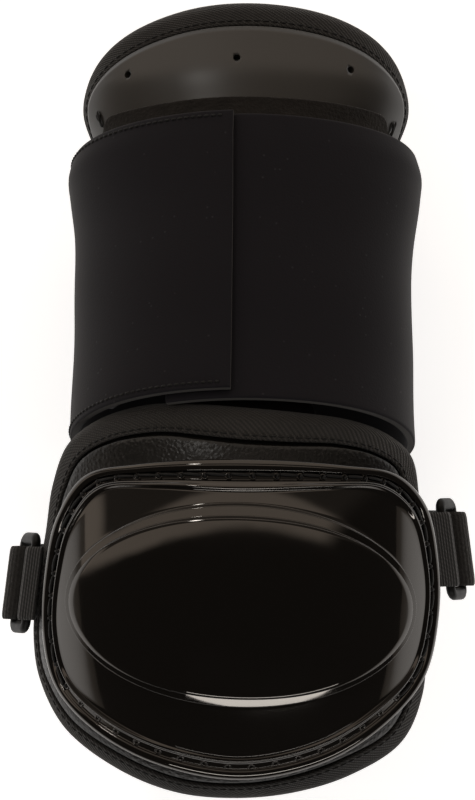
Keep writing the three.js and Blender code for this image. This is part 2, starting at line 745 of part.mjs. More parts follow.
// Strap: a tail outside, over the outer bar, round under the arm and up again the same way
function forearmStrap(left, right) {
  const radius = (RING_WIRE + WEBBING) / 2 + GAP;
  const tailGap = WEBBING + GAP;
  const middleX = (left.outerBar.x + right.outerBar.x) / 2;
  const halfWidth = (right.outerBar.x - left.outerBar.x) / 2 - radius + tailGap;
  const power = 2 / STRAP_ROUNDNESS;
  const loopPoint = (share, lift) => {
    const turn = Math.PI * share;
    const top = mix(left.outerBar.z, right.outerBar.z, share) - STRAP_FALL;
    const side = -Math.sign(Math.cos(turn)) * Math.abs(Math.cos(turn)) ** power;
    const fall = (top + STRAP_PRESS - lift) * Math.sin(turn) ** power;
    const point = vector(middleX + (halfWidth + lift) * side, 0, top - fall);
    point.z = Math.max(point.z, WEBBING / 2);
    return point;
  };
  const bar = (frame, first, last) => steps(first, last, 8).map((angle) => {
    const turn = radians(angle);
    const x = frame.outerBar.x + frame.side * Math.cos(turn) * radius;
    return vector(x, 0, frame.outerBar.z + Math.sin(turn) * radius);
  });
  const tailShare = Math.asin((STRAP_TAIL / (left.outerBar.z + STRAP_PRESS)) ** (1 / power)) / Math.PI;
  const tail = steps(tailShare, 0, 8).map((share) => loopPoint(share, tailGap));
  const tailRight = steps(1, 1 - tailShare, 8).map((share) => loopPoint(share, tailGap));
  const centres = [
    ...tail,
    ...bar(left, 0, 180),
    ...steps(0, 1, 44).map((share) => loopPoint(share, 0)),
    ...bar(right, 180, 0),
    ...tailRight,
  ];
  for (const centre of centres) {
    const share = rise(centre.x, left.outerBar.x, right.outerBar.x);
    centre.y = mix(left.y, right.y, share);
  }
  return ribbonBody(centres, WEBBING_WIDTH, WEBBING);
}

// A solid for cutting, from a geometry whose shared points are merged
function solidFrom(geometry) {
  const plain = geometry.clone();
  plain.deleteAttribute('normal');
  plain.deleteAttribute('uv');
  const merged = mergeVertices(plain);
  const triVerts = new Uint32Array(merged.index.array);
  return new wasm.Manifold(new wasm.Mesh({
    numProp: 3,
    vertProperties: merged.attributes.position.array,
    triVerts,
  }));
}

function geometryFrom(solid) {
  const { vertProperties, triVerts } = solid.getMesh();
  const geometry = new THREE.BufferGeometry();
  geometry.setAttribute('position', new THREE.BufferAttribute(vertProperties, 3));
  geometry.setIndex(new THREE.BufferAttribute(triVerts, 1));
  return geometry;
}

const MATERIALS = {
  neoprene: { color: 0x1b191b, roughness: 0.85, metalness: 0 },
  twill: { color: 0x232120, roughness: 0.9, metalness: 0 },
  vinyl: { color: 0x1e1c1b, roughness: 0.5, metalness: 0 },
  plate: { color: 0x3c3832, roughness: 0.3, metalness: 0 },
  shell: { color: 0x0c0b0a, roughness: 0.12, metalness: 0 },
  brushed: { color: 0x2a2726, roughness: 0.95, metalness: 0 },
  webbing: { color: 0x1c1b1b, roughness: 0.85, metalness: 0 },
  ring: { color: 0x161616, roughness: 0.35, metalness: 0 },
};

const guard = new THREE.Group();

function add(name, material, geometry) {
  const mesh = new THREE.Mesh(geometry, new THREE.MeshStandardMaterial(MATERIALS[material]));
  mesh.name = name;
  guard.add(mesh);
}

const frames = STRAP_SIDES.map(sideFrame);

add('cuff_strap', 'neoprene', cuffStrap());
add('upper_pad', 'vinyl', upperPad());
add('upper_binding', 'twill', upperBinding());
add('upper_plate', 'plate', upperPlate());
add('loop_panel', 'brushed', loopPanel());
add('hinge_panel', 'neoprene', hingePanel());
add('elbow_pad', 'vinyl', elbowPad());
add('elbow_binding', 'twill', elbowBinding());
add('elbow_shell', 'shell', elbowShell());
for (const frame of frames) {
  add(`ring_${frame.name}`, 'ring', ring(frame));
  add(`tab_${frame.name}`, 'webbing', tab(frame));
}
add('forearm_strap', 'webbing', forearmStrap(...frames));

// The origin is on the floor under the middle of the whole guard
const box = new THREE.Box3().setFromObject(guard);
const middle = box.getCenter(vector(0, 0, 0));
guard.position.set(-middle.x, -middle.y, -box.min.z);

export default guard;
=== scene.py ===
import bpy
import numpy as np
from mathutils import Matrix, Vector


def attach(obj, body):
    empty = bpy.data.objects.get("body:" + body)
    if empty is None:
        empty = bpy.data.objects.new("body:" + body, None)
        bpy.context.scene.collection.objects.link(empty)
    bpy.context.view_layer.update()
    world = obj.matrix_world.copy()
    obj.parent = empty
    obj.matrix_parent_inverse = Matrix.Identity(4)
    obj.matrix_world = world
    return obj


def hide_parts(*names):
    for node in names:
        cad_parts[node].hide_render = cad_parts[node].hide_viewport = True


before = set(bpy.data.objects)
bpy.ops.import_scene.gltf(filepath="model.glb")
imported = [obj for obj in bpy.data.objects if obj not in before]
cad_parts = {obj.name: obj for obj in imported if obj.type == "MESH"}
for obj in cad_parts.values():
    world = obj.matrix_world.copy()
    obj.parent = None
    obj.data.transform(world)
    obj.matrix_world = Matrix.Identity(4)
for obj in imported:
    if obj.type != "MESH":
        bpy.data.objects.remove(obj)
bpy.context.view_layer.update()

# Camera, floor and light
# The guard lies on its back on a pale table and is seen from straight above with a long lens.
# A glowing table, a small key light, a long strip light and a dim room make the reflections.
VIEW_HEIGHT = 0.2695
VIEW_CENTRE = (0.0004, -0.0001, 0.085)
CAMERA_DISTANCE = 2.7
CAMERA_CLIP = 20
SENSOR = 36
FLOOR_SIZE = 8
FLOOR_DROP = 0.0002
FLOOR_COLOUR = (0.82, 0.82, 0.82)
# Painted shade: the darker colour of the table far from the guard.
FLOOR_FAR_PAINTED_SHADE = (0.5, 0.49, 0.475)
FLOOR_GLOW = 0.72
GLOW_COLOUR = (0.985, 0.99, 1, 1)
GLOW_NEAR = 0.32
GLOW_FAR = 1.5
LIGHT_COLOUR = (1, 0.97, 0.93)
LIGHTS = [
    {"name": "key", "place": (-1.25, 1.05, 2.6), "target": (0, 0, 0.1), "size": (0.28, 0.28),
     "radiance": 34, "roll": 0},
    {"name": "strip", "place": (0.45, -1.5, 1.03), "target": (0.45, 0, 0.1), "size": (2.4, 0.15),
     "radiance": 10, "roll": np.radians(-3.5)},
]
ROOM_COLOUR = (1, 0.86, 0.73, 1)
ROOM_DARKEST = 0.045
CEILING_BOW = 0.14
CEILING_EDGE = {"low": -0.03, "high": 0.01, "first": 0.0, "last": 1.0}
RIGHT_SLANT = -1.3
RIGHT_EDGE = {"low": 0.72, "high": 0.92, "first": 1.0, "last": 0.0}
GAP_BOW = 0.25
GAP_LOW_EDGE = {"low": 0.16, "high": 0.2, "first": 0.0, "last": 0.9}
GAP_HIGH_EDGE = {"low": 0.4, "high": 0.47, "first": 1.0, "last": 0.0}
GAP_LEFT_EDGE = {"low": -0.995, "high": -0.97, "first": 0.0, "last": 1.0}
WALL_RIGHT_EDGE = {"low": -0.75, "high": -0.5, "first": 0.35, "last": 0.0}
WALL_LOW_EDGE = {"low": 0.3, "high": 0.5, "first": 0.0, "last": 1.0}


def new_material(name, colour, roughness, specular=0.5):
    """Material with one shader of that colour, roughness and specular level, and its node tree."""
    material = bpy.data.materials.new(name)
    material.use_nodes = True
    tree = material.node_tree
    shader = tree.nodes["Principled BSDF"]
    shader.inputs["Base Color"].default_value = (*colour, 1)
    shader.inputs["Roughness"].default_value = roughness
    shader.inputs["Specular IOR Level"].default_value = specular
    return material, tree, shader


def add_node(tree, kind, sockets=None, **settings):
    """Node of one kind with its settings; each socket takes a number, a colour or another socket."""
    node = tree.nodes.new(kind)
    for key, value in settings.items():
        setattr(node, key, value)
    for key, value in (sockets or {}).items():
        if isinstance(value, bpy.types.NodeSocket):
            tree.links.new(value, node.inputs[key])
        else:
            node.inputs[key].default_value = value
    return node


def add_math(tree, operation, *values):
    """Result of one sum on numbers and sockets."""
    return add_node(tree, "ShaderNodeMath", dict(enumerate(values)), operation=operation).outputs["Value"]


def ramp(tree, value, low=0.0, high=1.0, first=0.0, last=1.0, kind="LINEAR"):
    """Straight or smooth step of a value: first at low and below it, last at high and above it."""
    sockets = {"Value": value, "From Min": low, "From Max": high, "To Min": first, "To Max": last}
    return add_node(tree, "ShaderNodeMapRange", sockets, interpolation_type=kind).outputs["Result"]


def blend(tree, factor, first, last):
    """Mix of two colours, or of a socket and a colour: first at a factor of 0 and last at 1."""
    ends = [end if isinstance(end, bpy.types.NodeSocket) else (*end, 1) for end in (first, last)]
    sockets = {"Factor": factor, "A": ends[0], "B": ends[1]}
    return add_node(tree, "ShaderNodeMix", sockets, data_type="RGBA").outputs["Result"]


def own_place(tree):
    """Socket of the piece's own coordinates, in metres."""
    return add_node(tree, "ShaderNodeTexCoord").outputs["Object"]


def new_object(name, data):
    """Object that holds some data, linked to the scene."""
    made = bpy.data.objects.new(name, data)
    bpy.context.scene.collection.objects.link(made)
    return made


camera = new_object("camera", bpy.data.cameras.new("camera"))
camera.data.sensor_width = SENSOR
camera.data.lens = SENSOR * CAMERA_DISTANCE / VIEW_HEIGHT
camera.data.clip_end = CAMERA_CLIP
camera.location = (VIEW_CENTRE[0], VIEW_CENTRE[1], VIEW_CENTRE[2] + CAMERA_DISTANCE)
bpy.context.scene.camera = camera

floor_mesh = bpy.data.meshes.new("floor")
reach = FLOOR_SIZE / 2
floor_corners = [(-reach, -reach), (reach, -reach), (reach, reach), (-reach, reach)]
floor_mesh.from_pydata([(x, y, -FLOOR_DROP) for x, y in floor_corners], [], [(0, 1, 2, 3)])
floor = new_object("floor", floor_mesh)
# The table glows near the guard, a painted pool of light that fades out farther away.
floor_material, floor_tree, floor_shader = new_material("floor", FLOOR_COLOUR, 0.7, 0.2)
floor_shader.inputs["Emission Color"].default_value = GLOW_COLOUR
measure = add_node(floor_tree, "ShaderNodeVectorMath", {"Vector": own_place(floor_tree)}, operation="LENGTH")
distance = measure.outputs["Value"]
glow = ramp(floor_tree, distance, GLOW_NEAR, GLOW_FAR, FLOOR_GLOW, 0.0, "SMOOTHSTEP")
floor_tree.links.new(glow, floor_shader.inputs["Emission Strength"])
# Painted shade: the table's colour darkens farther from the guard, standing in for light that falls off.
far_share = ramp(floor_tree, distance, GLOW_NEAR, GLOW_FAR, 0.0, 1.0, "SMOOTHSTEP")
floor_painted_falloff = blend(floor_tree, far_share, FLOOR_COLOUR, FLOOR_FAR_PAINTED_SHADE)
floor_tree.links.new(floor_painted_falloff, floor_shader.inputs["Base Color"])
floor_mesh.materials.append(floor_material)


def add_soft_box(name, place, target, size, radiance, roll):
    """Area light of that size that faces its target; its power is radiance * pi * area."""
    light = bpy.data.lights.new(name, "AREA")
    light.shape = "RECTANGLE"
    light.size, light.size_y = size
    light.energy = radiance * np.pi * size[0] * size[1]
    light.color = LIGHT_COLOUR
    lamp = new_object(name, light)
    lamp.location = place
    lamp.rotation_euler = (Vector(target) - Vector(place)).to_track_quat("-Z", "Y").to_euler()
    lamp.rotation_euler.rotate_axis("Z", roll)


for row in LIGHTS:
    add_soft_box(**row)

# The room is dark on the forearm's side. A pale ceiling and wall stand on the shoulder's side,
# with a dark gap between them, and a low pale wall on the left of the shoulder. Each is a smooth
# step in the direction that is looked in, and the ceiling's edge is an arc.
world = bpy.data.worlds.new("world")
world.use_nodes = True
bpy.context.scene.world = world
sky = world.node_tree
look = add_node(
    sky, "ShaderNodeSeparateXYZ", {"Vector": add_node(sky, "ShaderNodeTexCoord").outputs["Generated"]}
)
look_x, look_y = look.outputs["X"], look.outputs["Y"]
bow = add_math(sky, "MULTIPLY", look_x, look_x)


def sky_step(value, edge):
    """Smooth step of a direction's share over one edge's row of values."""
    return ramp(sky, value, **edge, kind="SMOOTHSTEP")


def sky_product(*shares):
    """Product of two or more shares."""
    total = shares[0]
    for share in shares[1:]:
        total = add_math(sky, "MULTIPLY", total, share)
    return total


ceiling = sky_step(add_math(sky, "MULTIPLY_ADD", bow, CEILING_BOW, look_y), CEILING_EDGE)
right_limit = sky_step(add_math(sky, "MULTIPLY_ADD", look_y, RIGHT_SLANT, look_x), RIGHT_EDGE)
gap_low = sky_step(add_math(sky, "MULTIPLY_ADD", bow, GAP_BOW, look_y), GAP_LOW_EDGE)
gap = sky_product(gap_low, sky_step(look_y, GAP_HIGH_EDGE), sky_step(look_x, GAP_LEFT_EDGE))
far_panels = sky_product(ceiling, right_limit, add_math(sky, "SUBTRACT", 1.0, gap))
left_wall = sky_product(sky_step(look_x, WALL_RIGHT_EDGE), sky_step(look_y, WALL_LOW_EDGE))
panels = add_math(sky, "ADD", far_panels, left_wall)
room = sky.nodes["Background"]
room.inputs["Color"].default_value = ROOM_COLOUR
sky.links.new(add_math(sky, "ADD", panels, ROOM_DARKEST), room.inputs["Strength"])
bpy.context.scene.view_settings.view_transform = "Standard"

# Wrap round the upper arm
# One strap of smooth black neoprene laminate whose end, the flap, laps over its start at the
# front. It is cut square, sewn along the flap's edges, and rests by its shoulder end.
GUARD_SHIFT = np.array([0.001476, 0.000397, 0.0])
SLEEVE_LENGTH = 0.1
SLEEVE_HALF_WIDTH = 0.0585
SLEEVE_HALF_DEPTH = 0.048
SLEEVE_TILT = np.radians(20.7)
SLEEVE_LEAN = np.radians(0.6)
SLEEVE_MOUTH = (0.0006, -0.013)
SLEEVE_PRESS = 0.004
SLEEVE_ALONG = [0, 0.2, 0.45, 0.7, 0.86, 0.93, 1]
SLEEVE_WIDTH = [0.997, 0.988, 0.98, 0.988, 1.022, 1.032, 1.002]
NEOPRENE = 0.0032
WRAP_GAP = 0.0003
FLAP_EDGE_ANGLE = 94
FLAP_OVERLAP_ANGLE = 24
PRESS_RISE = (20, 80)
PRESS_END = 165
UNDER_LAYER_MARGIN = 0.0025
MARGIN_ANGLES = (-200, -90)
CUT_ROUND = 0.0007
CUT_LEAST = 0.62
WAVE_HEIGHT = 0.0004
WAVE_TURNS = (2, 3)
WAVE_RUNS = (90, -47)
WAVE_SHIFT = 1.1
WRAP_COLUMNS = 260
WRAP_ROWS = 48
NEOPRENE_COLOUR = (0.0065, 0.006, 0.0065)
NEOPRENE_SHADES = ((0.0028, 0.0026, 0.0055), (0.0057, 0.0048, 0.0062))
LINT_COLOUR = (0.05, 0.05, 0.055)
LINT_SCALE = 210.0
FOAM_COLOUR = (0.045, 0.043, 0.042)
FOAM_SCALE = 2600.0
THREAD_COLOUR = (0.002, 0.002, 0.002)
STITCH_RINGS = 7
STITCH_SIDES = 6
STITCH_TIP = 0.0009
SEAM_INSET = 0.002
SEAM_PITCH = 0.0023
SEAM_SHARE = 0.78
SEAM_THREAD = 0.00048
SEAM_ARCH = 0.00012
SEAM_LAST_ANGLE = -150
SEAM_POINTS = 200

sleeve_axis = np.array([np.tan(SLEEVE_LEAN), np.cos(SLEEVE_TILT), -np.sin(SLEEVE_TILT)])
sleeve_front = np.array([0, np.sin(SLEEVE_TILT), np.cos(SLEEVE_TILT)])
mouth_height = (
    SLEEVE_LENGTH * np.sin(SLEEVE_TILT) + SLEEVE_HALF_DEPTH * np.cos(SLEEVE_TILT) - SLEEVE_PRESS
)
sleeve_mouth = np.array([*SLEEVE_MOUTH, mouth_height]) + GUARD_SHIFT
wrap_lift = NEOPRENE + WRAP_GAP


def smooth_rise(value, low, high):
    """Rises from 0 at low to 1 at high as 3 t^2 - 2 t^3."""
    t = np.clip((value - low) / (high - low), 0, 1)
    return t * t * (3 - 2 * t)


def smooth_curve(t, start, start_slope, end, end_slope):
    """Cubic from start to end with those slopes: (1 + 2t)(1 - t)^2 start + t(1 - t)^2 start slope
    + t^2 (3 - 2t) end - t^2 (1 - t) end slope."""
    head = (1 + 2 * t) * (1 - t) ** 2 * start + t * (1 - t) ** 2 * start_slope
    return head + t * t * (3 - 2 * t) * end - t * t * (1 - t) * end_slope


def smooth_table(value, places, heights):
    """Smooth line through a table: between two rows a cubic that keeps the mean slope at each."""
    places, heights = np.asarray(places, float), np.asarray(heights, float)
    slopes = np.gradient(heights, places)
    value = np.clip(value, places[0], places[-1])
    row = np.clip(np.searchsorted(places, value) - 1, 0, len(places) - 2)
    width = places[row + 1] - places[row]
    t = (value - places[row]) / width
    return smooth_curve(t, heights[row], width * slopes[row], heights[row + 1], width * slopes[row + 1])


def close_steps(count):
    """Shares from 0 to 1 that lie closer together towards both ends, as half of 1 - cos."""
    return 0.5 - 0.5 * np.cos(np.linspace(0, np.pi, count + 1))


def edge_fill(distance, round_size, least):
    """Share of the full thickness at a distance from a cut edge: a quarter circle above least."""
    t = np.clip(distance / round_size, 0, 1)
    return least + (1 - least) * np.sqrt(1 - (1 - t) ** 2)


def sleeve_point(angle, along, depth):
    """Mouth + axis * along + x * (half width - depth) * cos + front * (half depth - depth) * sin."""
    angle, along, depth = np.broadcast_arrays(angle, along, depth)
    turn = np.radians(angle)
    half_width = smooth_table(along / SLEEVE_LENGTH, SLEEVE_ALONG, SLEEVE_WIDTH) * SLEEVE_HALF_WIDTH
    point = sleeve_mouth + along[..., None] * sleeve_axis
    point[..., 0] += (half_width - depth) * np.cos(turn)
    return point + ((SLEEVE_HALF_DEPTH - depth) * np.sin(turn))[..., None] * sleeve_front


def front_press(angle):
    """1 at the front of the sleeve, which is pressed in under the flap, and 0 at its sides."""
    fall = smooth_rise(angle, FLAP_EDGE_ANGLE + FLAP_OVERLAP_ANGLE, PRESS_END)
    return smooth_rise(angle, *PRESS_RISE) * (1 - fall)


def wrap_face(angle, along, layer, fill):
    """Point of the wrap at a layer, 0 outside to 1 inside, squeezed to the middle by fill, waved
    a little, and kept above the floor by what lies under it."""
    angle, along = np.broadcast_arrays(angle, along)
    depth = np.where(angle > 0, wrap_lift * front_press(angle), 0)
    turn = np.radians(angle)
    wave = WAVE_HEIGHT * np.sin(WAVE_TURNS[0] * turn + WAVE_RUNS[0] * along)
    wave = wave * np.sin(WAVE_TURNS[1] * turn + WAVE_SHIFT + WAVE_RUNS[1] * along)
    inside = NEOPRENE * (0.5 + (layer - 0.5) * fill)
    point = sleeve_point(angle, along, depth + wave + inside)
    point[..., 2] = np.maximum(point[..., 2], inside)
    return point


def grid_faces(columns, rows, looped):
    """Faces of a wall whose section is a loop of rows: its sides, then its two rims, then caps."""
    half = rows // 2
    i = np.arange(columns if looped else columns - 1)
    sides = np.array([j for j in range(rows) if j not in (half - 1, rows - 1)])
    rims = np.array([half - 1, rows - 1])

    def strips(row_list):
        """Quads from each column to the next, for the rows of a list."""
        a, j = np.meshgrid(i, row_list, indexing="ij")
        b, k = (a + 1) % columns, (j + 1) % rows
        return np.stack([a * rows + j, b * rows + j, b * rows + k, a * rows + k], -1).reshape(-1, 4)

    corner = strips(sides)
    rim = strips(rims)
    if looped:
        return corner, rim
    j = np.arange(half - 1)
    cap = np.stack([j, j + 1, rows - 2 - j, rows - 1 - j], -1)
    other = cap[:, ::-1] + (columns - 1) * rows
    return corner, np.concatenate([rim, cap, other])


def link_mesh(name, points, faces, materials):
    """Object of a closed mesh whose faces point out, smooth, at the origin, on the root body."""
    a, b, c = (points[faces[:, n]] for n in (0, 1, 2))
    d = points[faces[:, -1]]
    volume = np.einsum("ij,ij->i", a, np.cross(b, c)).sum() + np.einsum("ij,ij->i", a, np.cross(c, d)).sum()
    order = faces if volume > 0 else faces[:, ::-1]
    mesh = bpy.data.meshes.new(name)
    mesh.from_pydata(points.tolist(), [], order.tolist())
    mesh.shade_smooth()
    for material in materials:
        mesh.materials.append(material)
    piece = new_object(name, mesh)
    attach(piece, "root")
    return piece, volume > 0


def unit(vectors):
    """Each vector divided by its length."""
    return vectors / np.linalg.norm(vectors, axis=-1, keepdims=True)


def closed(line):
    """Line of points with its first point once more at its end."""
    return np.concatenate([line, line[:1]])


def reach_of(line):
    """Distances from a line's first point to each of its points, added up along it."""
    return np.concatenate([[0], np.cumsum(np.linalg.norm(np.diff(line, axis=0), axis=1))])


def at_reach(distance, reach, values):
    """Values of a line at distances along it, straight between its points."""
    return np.stack([np.interp(distance, reach, column) for column in values.T], -1)


def lengths(points, axis, looped):
    """Distances along one axis of a grid, added up, measured on the middle line of the other."""
    line = np.take(points, points.shape[1 - axis] // 2, axis=1 - axis)
    return reach_of(closed(line) if looped else line)


def wall_piece(name, outer, inner, materials, looped=False):
    """Wall between an outer and an inner grid of points, columns by rows. The rims and caps take
    the last material, and the UV map counts metres along the columns and round the section."""
    section = np.concatenate([outer, inner[:, ::-1]], axis=1)
    columns, rows = section.shape[:2]
    sides, rims = grid_faces(columns, rows, looped)
    faces = np.concatenate([sides, rims])
    piece, kept = link_mesh(name, section.reshape(-1, 3), faces, materials)
    u = lengths(section, 0, looped)
    v = lengths(section, 1, True)
    column, row = faces // rows, faces % rows
    column = np.where(np.abs(column - column[:, :1]) > 1, columns, column)
    row = np.where((row == 0) & (row.max(axis=1, keepdims=True) == rows - 1), rows, row)
    uv = np.stack([u[np.minimum(column, len(u) - 1)], v[row]], -1)
    uv = uv if kept else uv[:, ::-1]
    layer = piece.data.uv_layers.new(name="metres")
    layer.data.foreach_set("uv", uv.reshape(-1).astype(np.float32))
    index = np.zeros(len(faces), np.int32)
    index[len(sides):] = len(materials) - 1
    piece.data.polygons.foreach_set("material_index", index)
    return piece


def noise(tree, scale, detail):
    """Noise of that scale and detail over the piece's own coordinates."""
    sockets = {"Vector": own_place(tree), "Scale": scale, "Detail": detail}
    return add_node(tree, "ShaderNodeTexNoise", sockets).outputs["Fac"]


def add_bump(tree, shader, height, strength, distance, **settings):
    """Bump of the shader's normal that follows a height."""
    sockets = {"Height": height, "Strength": strength, "Distance": distance}
    bump = add_node(tree, "ShaderNodeBump", sockets, **settings)
    tree.links.new(bump.outputs["Normal"], shader.inputs["Normal"])


neoprene, neoprene_tree, neoprene_shader = new_material("neoprene", NEOPRENE_COLOUR, 0.8, 0.15)
neoprene_shader.inputs["Sheen Weight"].default_value = 0.06
neoprene_shader.inputs["Sheen Roughness"].default_value = 0.5
lint = add_node(
    neoprene_tree, "ShaderNodeTexVoronoi", {"Vector": own_place(neoprene_tree), "Scale": LINT_SCALE}
)
cloud = noise(neoprene_tree, scale=9.0, detail=4.0)
speck = ramp(neoprene_tree, lint.outputs["Distance"], low=0.05, high=0.1, first=1.0, last=0.0)
rare = ramp(neoprene_tree, cloud, low=0.47, high=0.49, first=0.0, last=0.32)
lint_share = add_math(neoprene_tree, "MULTIPLY", speck, rare)
shade = blend(neoprene_tree, cloud, *NEOPRENE_SHADES)
flecked = blend(neoprene_tree, lint_share, shade, LINT_COLOUR)
neoprene_tree.links.new(flecked, neoprene_shader.inputs["Base Color"])
knit = noise(neoprene_tree, scale=1500.0, detail=2.0)
add_bump(neoprene_tree, neoprene_shader, knit, strength=0.5, distance=0.0001)

cut_foam, foam_tree, foam_shader = new_material("cut_foam", FOAM_COLOUR, 0.85, 0.3)
pores = add_node(foam_tree, "ShaderNodeTexVoronoi", {"Vector": own_place(foam_tree), "Scale": FOAM_SCALE})
add_bump(foam_tree, foam_shader, pores.outputs["Distance"], strength=0.7, distance=0.00015)

wrap_turn = close_steps(WRAP_COLUMNS) * (360 + FLAP_OVERLAP_ANGLE)
wrap_angles = FLAP_EDGE_ANGLE + FLAP_OVERLAP_ANGLE - wrap_turn
wrap_shares = close_steps(WRAP_ROWS)
angle = wrap_angles[:, None]
margin = UNDER_LAYER_MARGIN * smooth_rise(angle, *MARGIN_ANGLES)
along = -margin + wrap_shares * (SLEEVE_LENGTH + margin)
to_end = SLEEVE_HALF_DEPTH * np.radians(np.minimum(angle - wrap_angles[-1], wrap_angles[0] - angle))
to_edge = np.minimum(np.minimum(along + margin, SLEEVE_LENGTH - along), to_end)
fill = edge_fill(to_edge, CUT_ROUND, CUT_LEAST)
cuff = wall_piece(
    "cuff_wrap", wrap_face(angle, along, 0, fill), wrap_face(angle, along, 1, fill), [neoprene, cut_foam]
)
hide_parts("cuff_strap")
wrap_length = lengths(wrap_face(angle, along, 0.5, 1), 0, False)[-1]

thread, thread_tree, thread_shader = new_material("thread", THREAD_COLOUR, 0.6, 0.25)
strands = noise(thread_tree, scale=3500.0, detail=2.0)
add_bump(thread_tree, thread_shader, strands, strength=0.6, distance=0.0001)


def tube_faces(rings, around, looped=False):
    """Quads from each ring of a tube to the next, and from the last to the first if looped."""
    i, j = np.meshgrid(np.arange(rings if looped else rings - 1), np.arange(around), indexing="ij")
    k, m = (i + 1) % rings, (j + 1) % around
    return np.stack([i * around + j, k * around + j, k * around + m, i * around + m], -1).reshape(-1, 4)


def repeated(faces, count, size):
    """Faces of count equal bodies that have size points each."""
    return (faces[None] + np.arange(count)[:, None, None] * size).reshape(-1, 4)


def stitch_piece(name, starts, ends, ups, radius, arch, material):
    """Row of thread stitches: each is a tube from its start to its end whose middle rises by
    arch along up, thick in the middle and closed at both ends."""
    along = np.linspace(0, 1, STITCH_RINGS)
    around = np.linspace(0, 2 * np.pi, STITCH_SIDES, endpoint=False)
    run = ends - starts
    ups = unit(ups)
    side = unit(np.cross(run, ups))
    bulge = np.sqrt(np.maximum(1 - (2 * along - 1) ** 4, STITCH_TIP))
    lift = arch * (1 - (2 * along - 1) ** 2)
    centre = starts[:, None] + run[:, None] * along[:, None] + ups[:, None] * lift[:, None]
    spin = side[:, None, None] * np.cos(around)[:, None] + ups[:, None, None] * np.sin(around)[:, None]
    points = centre[:, :, None] + spin * (radius * bulge)[None, :, None, None]
    lid = np.array([[0, 1, 2, 3], [0, 3, 4, 5]])
    other = lid[:, ::-1] + (STITCH_RINGS - 1) * STITCH_SIDES
    stitch = np.concatenate([tube_faces(STITCH_RINGS, STITCH_SIDES), lid, other])
    faces = repeated(stitch, len(starts), STITCH_RINGS * STITCH_SIDES)
    piece, _ = link_mesh(name, points.reshape(-1, 3), faces, [material])
    return piece


def row_of_stitches(line, ups, pitch, share):
    """Starts, ends and ups of stitches along a line of points, pitch apart and share of it long."""
    reach = reach_of(line)
    first = np.arange(pitch / 2, reach[-1] - pitch, pitch)
    last = first + pitch * share
    middle_ups = at_reach((first + last) / 2, reach, ups)
    return at_reach(first, reach, line), at_reach(last, reach, line), middle_ups


inset_angle = np.degrees(SEAM_INSET / SLEEVE_HALF_DEPTH)
seam_angles = np.linspace(wrap_angles[-1] + inset_angle, SEAM_LAST_ANGLE, SEAM_POINTS)
for name, seam_along in (("mouth", SEAM_INSET), ("shoulder", SLEEVE_LENGTH - SEAM_INSET)):
    seam_line = wrap_face(seam_angles, seam_along, 0, 1)
    seam_ups = seam_line - wrap_face(seam_angles, seam_along, 1, 1)
    seam_row = row_of_stitches(seam_line, seam_ups, SEAM_PITCH, SEAM_SHARE)
    flap_seam = stitch_piece(f"flap_seam_{name}", *seam_row, SEAM_THREAD, SEAM_ARCH, thread)

# Foam pad of the upper arm
# A pad of closed foam in pebbled vinyl under the wrap, with an arched shoulder end. Only its back
# shows, inside the arm's hollow. Its edge is round where the tape folds over it.
STACK_GAP = 0.0009
BAND_FABRIC = 0.0012
PLATE_WALL = 0.0022
UPPER_PAD_SHOW = 0.042
PAD_LEG = 0.014
PAD_LEG_TURN = 20
PAD_START = 0.008
UPPER_FOAM = 0.007
PAD_FLARE = 0.0038
PAD_FLARE_RUN = 0.02
SIDE_FLARE = 0.002
SIDE_FLARE_RUN = 0.016
ARCH_POWER = 2 / 2.15
UPPER_TAPE_COVER = 0.008
VINYL_COLOUR = (0.0045, 0.0043, 0.0041)
GRAIN_SCALE = 900.0
GRAIN_WARP = 0.0012
ARCH_COLUMNS = 221

plate_layer = BAND_FABRIC + STACK_GAP
pad_layer = plate_layer + PLATE_WALL + STACK_GAP


def stack_point(angle, along, layer):
    """Point under the wrap's inner face by a layer; past the wrap's end the stack springs out,
    and sooner at its two sides."""
    start = SLEEVE_LENGTH - WRAP_GAP
    flare = PAD_FLARE * smooth_rise(along, start, SLEEVE_LENGTH + PAD_FLARE_RUN)
    sides = np.cos(np.radians(angle)) ** 2
    flare = flare + SIDE_FLARE * sides * smooth_rise(along, start, SLEEVE_LENGTH + SIDE_FLARE_RUN)
    return sleeve_point(angle, along, wrap_lift * front_press(angle) + NEOPRENE + STACK_GAP + layer - flare)


def arch_edge(turn, inset):
    """Angle and place along the sleeve of the pad's arched edge, a superellipse with a straight
    leg at each end; turn is 0 at the right side and 180 at the left, inset is in from the edge."""
    on_arch = np.clip(turn, 0, 180)
    cosine = np.cos(np.radians(on_arch))
    height = np.abs(np.sin(np.radians(on_arch))) ** ARCH_POWER
    half_angle = 90 - np.degrees(inset / SLEEVE_HALF_DEPTH)
    leg = np.abs(turn - on_arch) * PAD_LEG / PAD_LEG_TURN
    angle = 90 - half_angle * np.sign(cosine) * np.abs(cosine) ** ARCH_POWER
    return angle, SLEEVE_LENGTH - leg + (UPPER_PAD_SHOW - inset) * height


def vary_roughness(tree, shader, scale, detail, **edge):
    """Roughness that follows a noise over the values of a step."""
    tree.links.new(ramp(tree, noise(tree, scale, detail), **edge), shader.inputs["Roughness"])


vinyl, vinyl_tree, vinyl_shader = new_material("vinyl", VINYL_COLOUR, 0.33, 0.25)
place = own_place(vinyl_tree)
bend = add_node(vinyl_tree, "ShaderNodeTexNoise", {"Vector": place, "Scale": 300.0, "Detail": 2.0})
warped = add_node(
    vinyl_tree, "ShaderNodeMix",
    {"Factor": GRAIN_WARP, "A": place, "B": bend.outputs["Color"]}, data_type="VECTOR",
)
cells = add_node(
    vinyl_tree, "ShaderNodeTexVoronoi",
    {"Vector": warped.outputs["Result"], "Scale": GRAIN_SCALE}, feature="SMOOTH_F1",
)
add_bump(
    vinyl_tree, vinyl_shader, cells.outputs["Distance"], strength=0.8, distance=0.00022, invert=True
)
vary_roughness(vinyl_tree, vinyl_shader, scale=60.0, detail=4.0, first=0.24, last=0.38)

